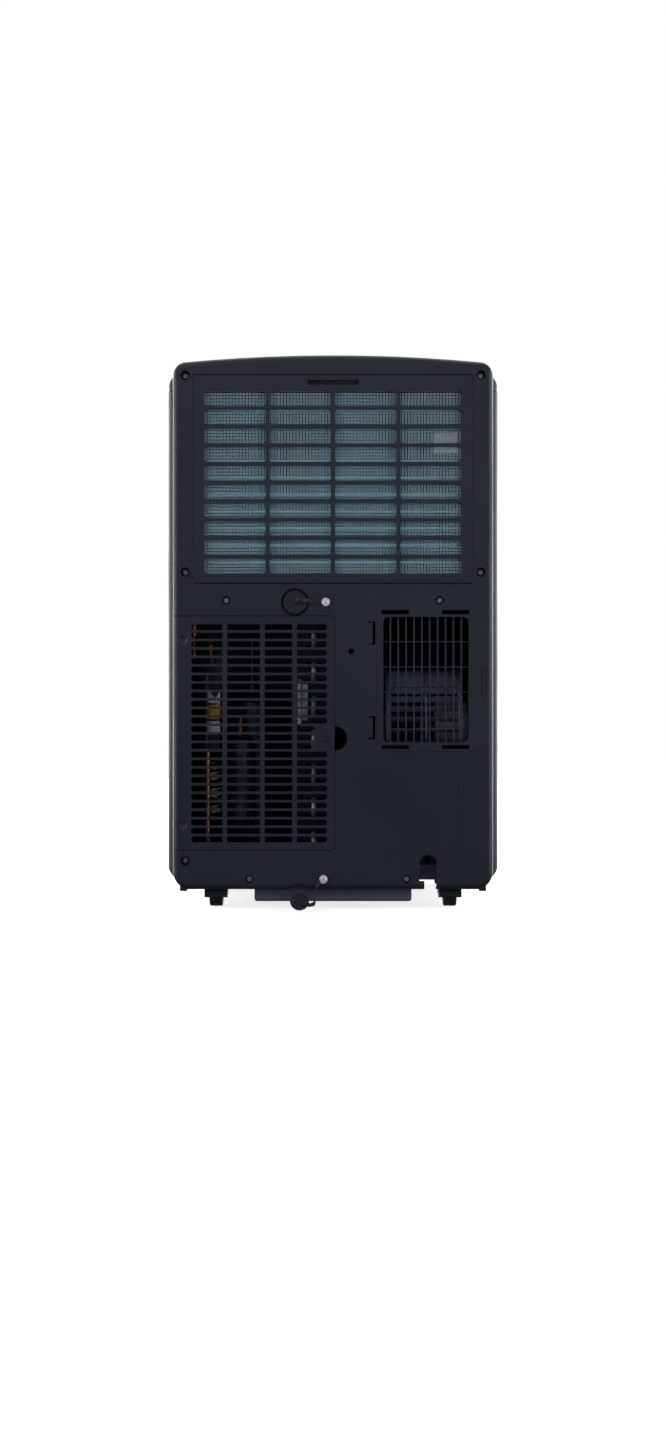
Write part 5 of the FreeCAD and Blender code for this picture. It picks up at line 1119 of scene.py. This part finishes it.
@dataclass
class ControlPanel:
    """The dark panel on top: printed button marks, the display's digits and the dividing lines."""

    stroke: float = 0.45 * MM
    mark: float = 3.6 * MM
    ink_rise: float = 0.12 * MM
    digit_height: float = 15 * MM
    digit_width: float = 8 * MM
    crown_radius: float = 2.0
    divider_before: float = 26 * MM    # how far a divider runs past the arrow buttons, and behind them
    divider_behind: float = 4 * MM
    divider_places: Flat = (-47 * MM, 70 * MM)
    digit_shift: float = 7 * MM

    def dress(self, nodes: Nodes, paint: Paint) -> None:
        """Gives the panel, its window and its buttons their finishes."""
        panel = MouldedPlastic("moulded_pc_abs_gloss", "14161a", "2b2e35", 0.24, grain_depth_mm=0.006)
        keys = MouldedPlastic("moulded_key_satin", "23262c", "3d424b", 0.34, grain_depth_mm=0.01)
        paint.cover(nodes, panel, "control_panel")
        paint.cover(nodes, SmokedAcrylic("smoked_acrylic_window", "060708", "15171b"), "display_window")
        paint.cover(nodes, keys, *(icon.value for icon in Icon))

    def strokes(self, icon: Icon) -> list[list[Flat]]:
        """Draws a mark.

        Args:
            icon: Which mark.

        Returns:
            Its lines, each a list of (across, away) points in metres about the mark's middle.
        """
        r = self.mark

        def arc(radius: float, first: float, last: float, x: float = 0.0, y: float = 0.0) -> list[Flat]:
            """Returns an arc's points; angles in degrees."""
            turns = [math.radians(first + (last - first) * i / 24) for i in range(25)]
            return [(x + radius * math.cos(t), y + radius * math.sin(t)) for t in turns]

        if icon is Icon.POWER:
            return [arc(r, 125, 415), [(0, r * 0.25), (0, r * 1.25)]]
        if icon is Icon.TIMER:
            return [arc(r, 0, 360), [(0, 0), (0, r * 0.65)], [(0, 0), (r * 0.5, 0)]]
        if icon is Icon.WARMER:
            return [[(-r * 0.8, -r * 0.4), (0, r * 0.5), (r * 0.8, -r * 0.4)]]
        if icon is Icon.COOLER:
            return [[(-r * 0.8, r * 0.4), (0, -r * 0.5), (r * 0.8, r * 0.4)]]
        if icon is Icon.MODE:
            tips = [(r * math.cos(t), r * math.sin(t)) for t in (math.radians(60 * i) for i in range(3))]
            return [[(-x, -y), (x, y)] for x, y in tips]
        blades = [math.radians(120 * i + 90) for i in range(3)]
        return [arc(r * 0.5, math.degrees(t) - 60, math.degrees(t) + 120, r * 0.5 * math.cos(t),
                    r * 0.5 * math.sin(t)) for t in blades]

    def ink(self, name: str, lines: Iterable[Sequence[Flat]], middle: Point, body: str,
            finish: Any, paint: Paint) -> bpy.types.Object:
        """Lays printed lines on the crowned top.

        Args:
            name: The piece's name.
            lines: The lines, about the middle.
            middle: Where the middle is.
            body: The body that it rides on.
            finish: The ink.
            paint: The paint shop.

        Returns:
            The piece.
        """
        drawn = Mesh()
        half, rise = self.stroke / 2, self.ink_rise
        for line in lines:
            points = []
            for across, away in line:
                x, y = middle[0] - across, middle[1] - away
                fall = (middle[0] ** 2 - x * x) / (2 * self.crown_radius)
                points.append(Vector((x, y, middle[2] + fall)))
            outline = [(-half, -rise), (half, -rise), (half, rise), (-half, rise)]
            drawn.sweep(points, outline, Vector((0, 0, 1)))
        made = drawn.piece(name, paint.finish(finish))
        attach(made, body)
        return made

    def build(self, paint: Paint) -> None:
        """Builds the button marks, the display's digits and the dividing lines."""
        ink = PrintedFilm("white_pad_print", "c9cdd2", "aeb3ba")
        for icon in Icon:
            low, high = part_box(icon.value)
            middle = ((low.x + high.x) / 2, (low.y + high.y) / 2)
            slope = abs(middle[0]) / self.crown_radius
            z = high.z - slope * (self.mark + (high.x - low.x) / 2)
            self.ink(icon.value + "_mark", self.strokes(icon), (*middle, z), icon.value, ink, paint)
        self.build_digits(paint)
        self.build_dividers(paint)
        LOG.info("panel: %d button marks", len(Icon))

    def build_digits(self, paint: Paint) -> None:
        """Builds the unlit segments of two digits behind the display's surface."""
        low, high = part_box("display_window")
        middle = (low + high) / 2
        w, h = self.digit_width / 2, self.digit_height / 2
        gap = 0.8 * MM
        bars = [[(-w + gap, level), (w - gap, level)] for level in (h, 0, -h)]
        bars += [[(side, a), (side, b)] for side in (-w, w) for a, b in ((gap, h - gap), (-h + gap, -gap))]
        ink = PrintedFilm("unlit_segment", "3a3d42", "2c2f33", 0.3)
        for name, shift in (("left", -self.digit_shift), ("right", self.digit_shift)):
            x = middle.x - shift
            z = high.z - x * x / (2 * self.crown_radius) + self.ink_rise * 0.4
            self.ink(f"display_digit_{name}", bars, (x, middle.y, z), "unit", ink, paint)

    def build_dividers(self, paint: Paint) -> None:
        """Builds the two thin printed lines that part the groups of buttons."""
        _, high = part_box("control_panel")
        button_low, button_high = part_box(Icon.WARMER.value)
        y0, y1 = button_low.y - self.divider_before, button_high.y + self.divider_behind
        ink = PrintedFilm("grey_pad_print", "6b7078", "555a61")
        for name, x in zip(("left", "right"), self.divider_places):
            z = high.z - x * x / (2 * self.crown_radius)
            middle_y = (y0 + y1) / 2
            line = [[(0, y0 - middle_y), (0, y1 - middle_y)]]
            self.ink(f"panel_divider_{name}", line, (x, middle_y, z), "unit", ink, paint)


@dataclass
class Studio:
    """The plain floor, the soft lights and the camera."""

    distance: float = 2.4
    camera_height: float = 0.36
    picture_width: float = 0.8348      # how wide the picture is at the flat back
    picture_middle: float = 0.239      # how high its middle is there
    sensor: float = 36.0
    floor_reach: float = 1.9

    def build_floor(self, paint: Paint) -> None:
        """Builds the floor."""
        floor = Mesh()
        reach = self.floor_reach
        floor.slab((-reach, -reach, -0.02), (reach, reach, -0.0005))
        made = floor.piece("studio_floor", paint.finish(PaintedFloor()))
        made.visible_diffuse = made.visible_glossy = False

    def light(self, name: str, place: Point, aim: Point, size: Flat, watts: float,
              colour: str) -> None:
        """Hangs one softbox.

        Args:
            name: The light's name.
            place: Where it hangs.
            aim: The point that it faces.
            size: Its width and height.
            watts: Its power.
            colour: Its colour.
        """
        lamp = bpy.data.lights.new(name, "AREA")
        lamp.shape = "RECTANGLE"
        lamp.size, lamp.size_y = size
        lamp.energy = watts
        lamp.color = linear(colour)[:3]
        made = bpy.data.objects.new(name, lamp)
        made.location = place
        made.rotation_euler = (Vector(aim) - Vector(place)).to_track_quat("-Z", "Y").to_euler()
        bpy.context.scene.collection.objects.link(made)

    def build_lights(self) -> None:
        """Hangs the softboxes and sets the room's glow."""
        white, cool = "ffffff", "d6e2ff"
        self.light("key_softbox", (0.7, 2.4, 2.3), (0, 0.15, 0.45), (1.4, 0.9), 12, white)
        self.light("back_softbox", (0.0, 3.1, 0.6), (0, 0.15, 0.4), (2.0, 1.6), 3.5, cool)
        self.light("fill_softbox", (-1.6, 2.3, 0.7), (0, 0.15, 0.3), (1.2, 1.6), 5, cool)
        for side, name in ((1, "left"), (-1, "right")):
            flank = (side * 0.2, 0.0, 0.4)
            self.light(f"side_softbox_{name}", (side * 2.1, -0.85, 0.75), flank, (1.6, 1.8), 34, white)
            self.light(f"rim_softbox_{name}", (side * 1.05, -1.6, 0.5), flank, (1.1, 1.8), 42, white)
            self.light(f"edge_strip_{name}", (side * 1.7, 0.95, 0.5), (0, 0.15, 0.4), (0.25, 1.3), 13, white)
        self.light("top_softbox", (0, -0.6, 2.4), (0, -0.1, 0.6), (1.8, 1.5), 26, white)
        self.light("front_softbox", (0.6, -2.6, 1.5), (0, -0.2, 0.4), (1.4, 1.4), 5, white)
        world = bpy.data.worlds.new("studio_room")
        world.use_nodes = True
        tree = world.node_tree
        tree.nodes.clear()
        seen = add(tree, "LightPath").outputs["Is Camera Ray"]
        room = add(tree, "Background", None, {"Color": linear("e9ecf2"), "Strength": 0.10}).outputs[0]
        sweep = add(tree, "Background", None, {"Color": linear("ffffff"), "Strength": 1.0}).outputs[0]
        both = add(tree, "MixShader", None, {0: seen, 1: room, 2: sweep}).outputs[0]
        add(tree, "OutputWorld", None, {"Surface": both})
        bpy.context.scene.world = world

    def build_camera(self, back: float) -> None:
        """Sets the camera up behind the machine.

        Args:
            back: The y of the flat back.
        """
        lens = bpy.data.cameras.new("camera")
        picture_height = self.picture_width * IMAGE_HEIGHT / IMAGE_WIDTH
        lens.sensor_width = self.sensor
        lens.lens = self.sensor * self.distance / picture_height
        lens.shift_y = (self.picture_middle - self.camera_height) / picture_height
        made = bpy.data.objects.new("camera", lens)
        made.location = (0, back + self.distance, self.camera_height)
        made.rotation_euler = (math.radians(90), 0, math.radians(180))
        bpy.context.scene.collection.objects.link(made)
        bpy.context.scene.camera = made
        bpy.context.scene.view_settings.view_transform = "Standard"


def main() -> None:
    logging.basicConfig(level=logging.INFO, format="%(message)s")
    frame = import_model()
    nodes, paint = frame["nodes"], Paint()
    studio = Studio()
    studio.build_camera(FLAT_BACK)
    studio.build_lights()
    studio.build_floor(paint)
    built = (Casing(), ColdCircuit(), Filters(), Drains(), ControlPanel())
    for assembly in (*built, AirPath(), Fixings()):
        assembly.dress(nodes, paint)
    for assembly in built:
        assembly.build(paint)


if __name__ == "__main__":
    main()
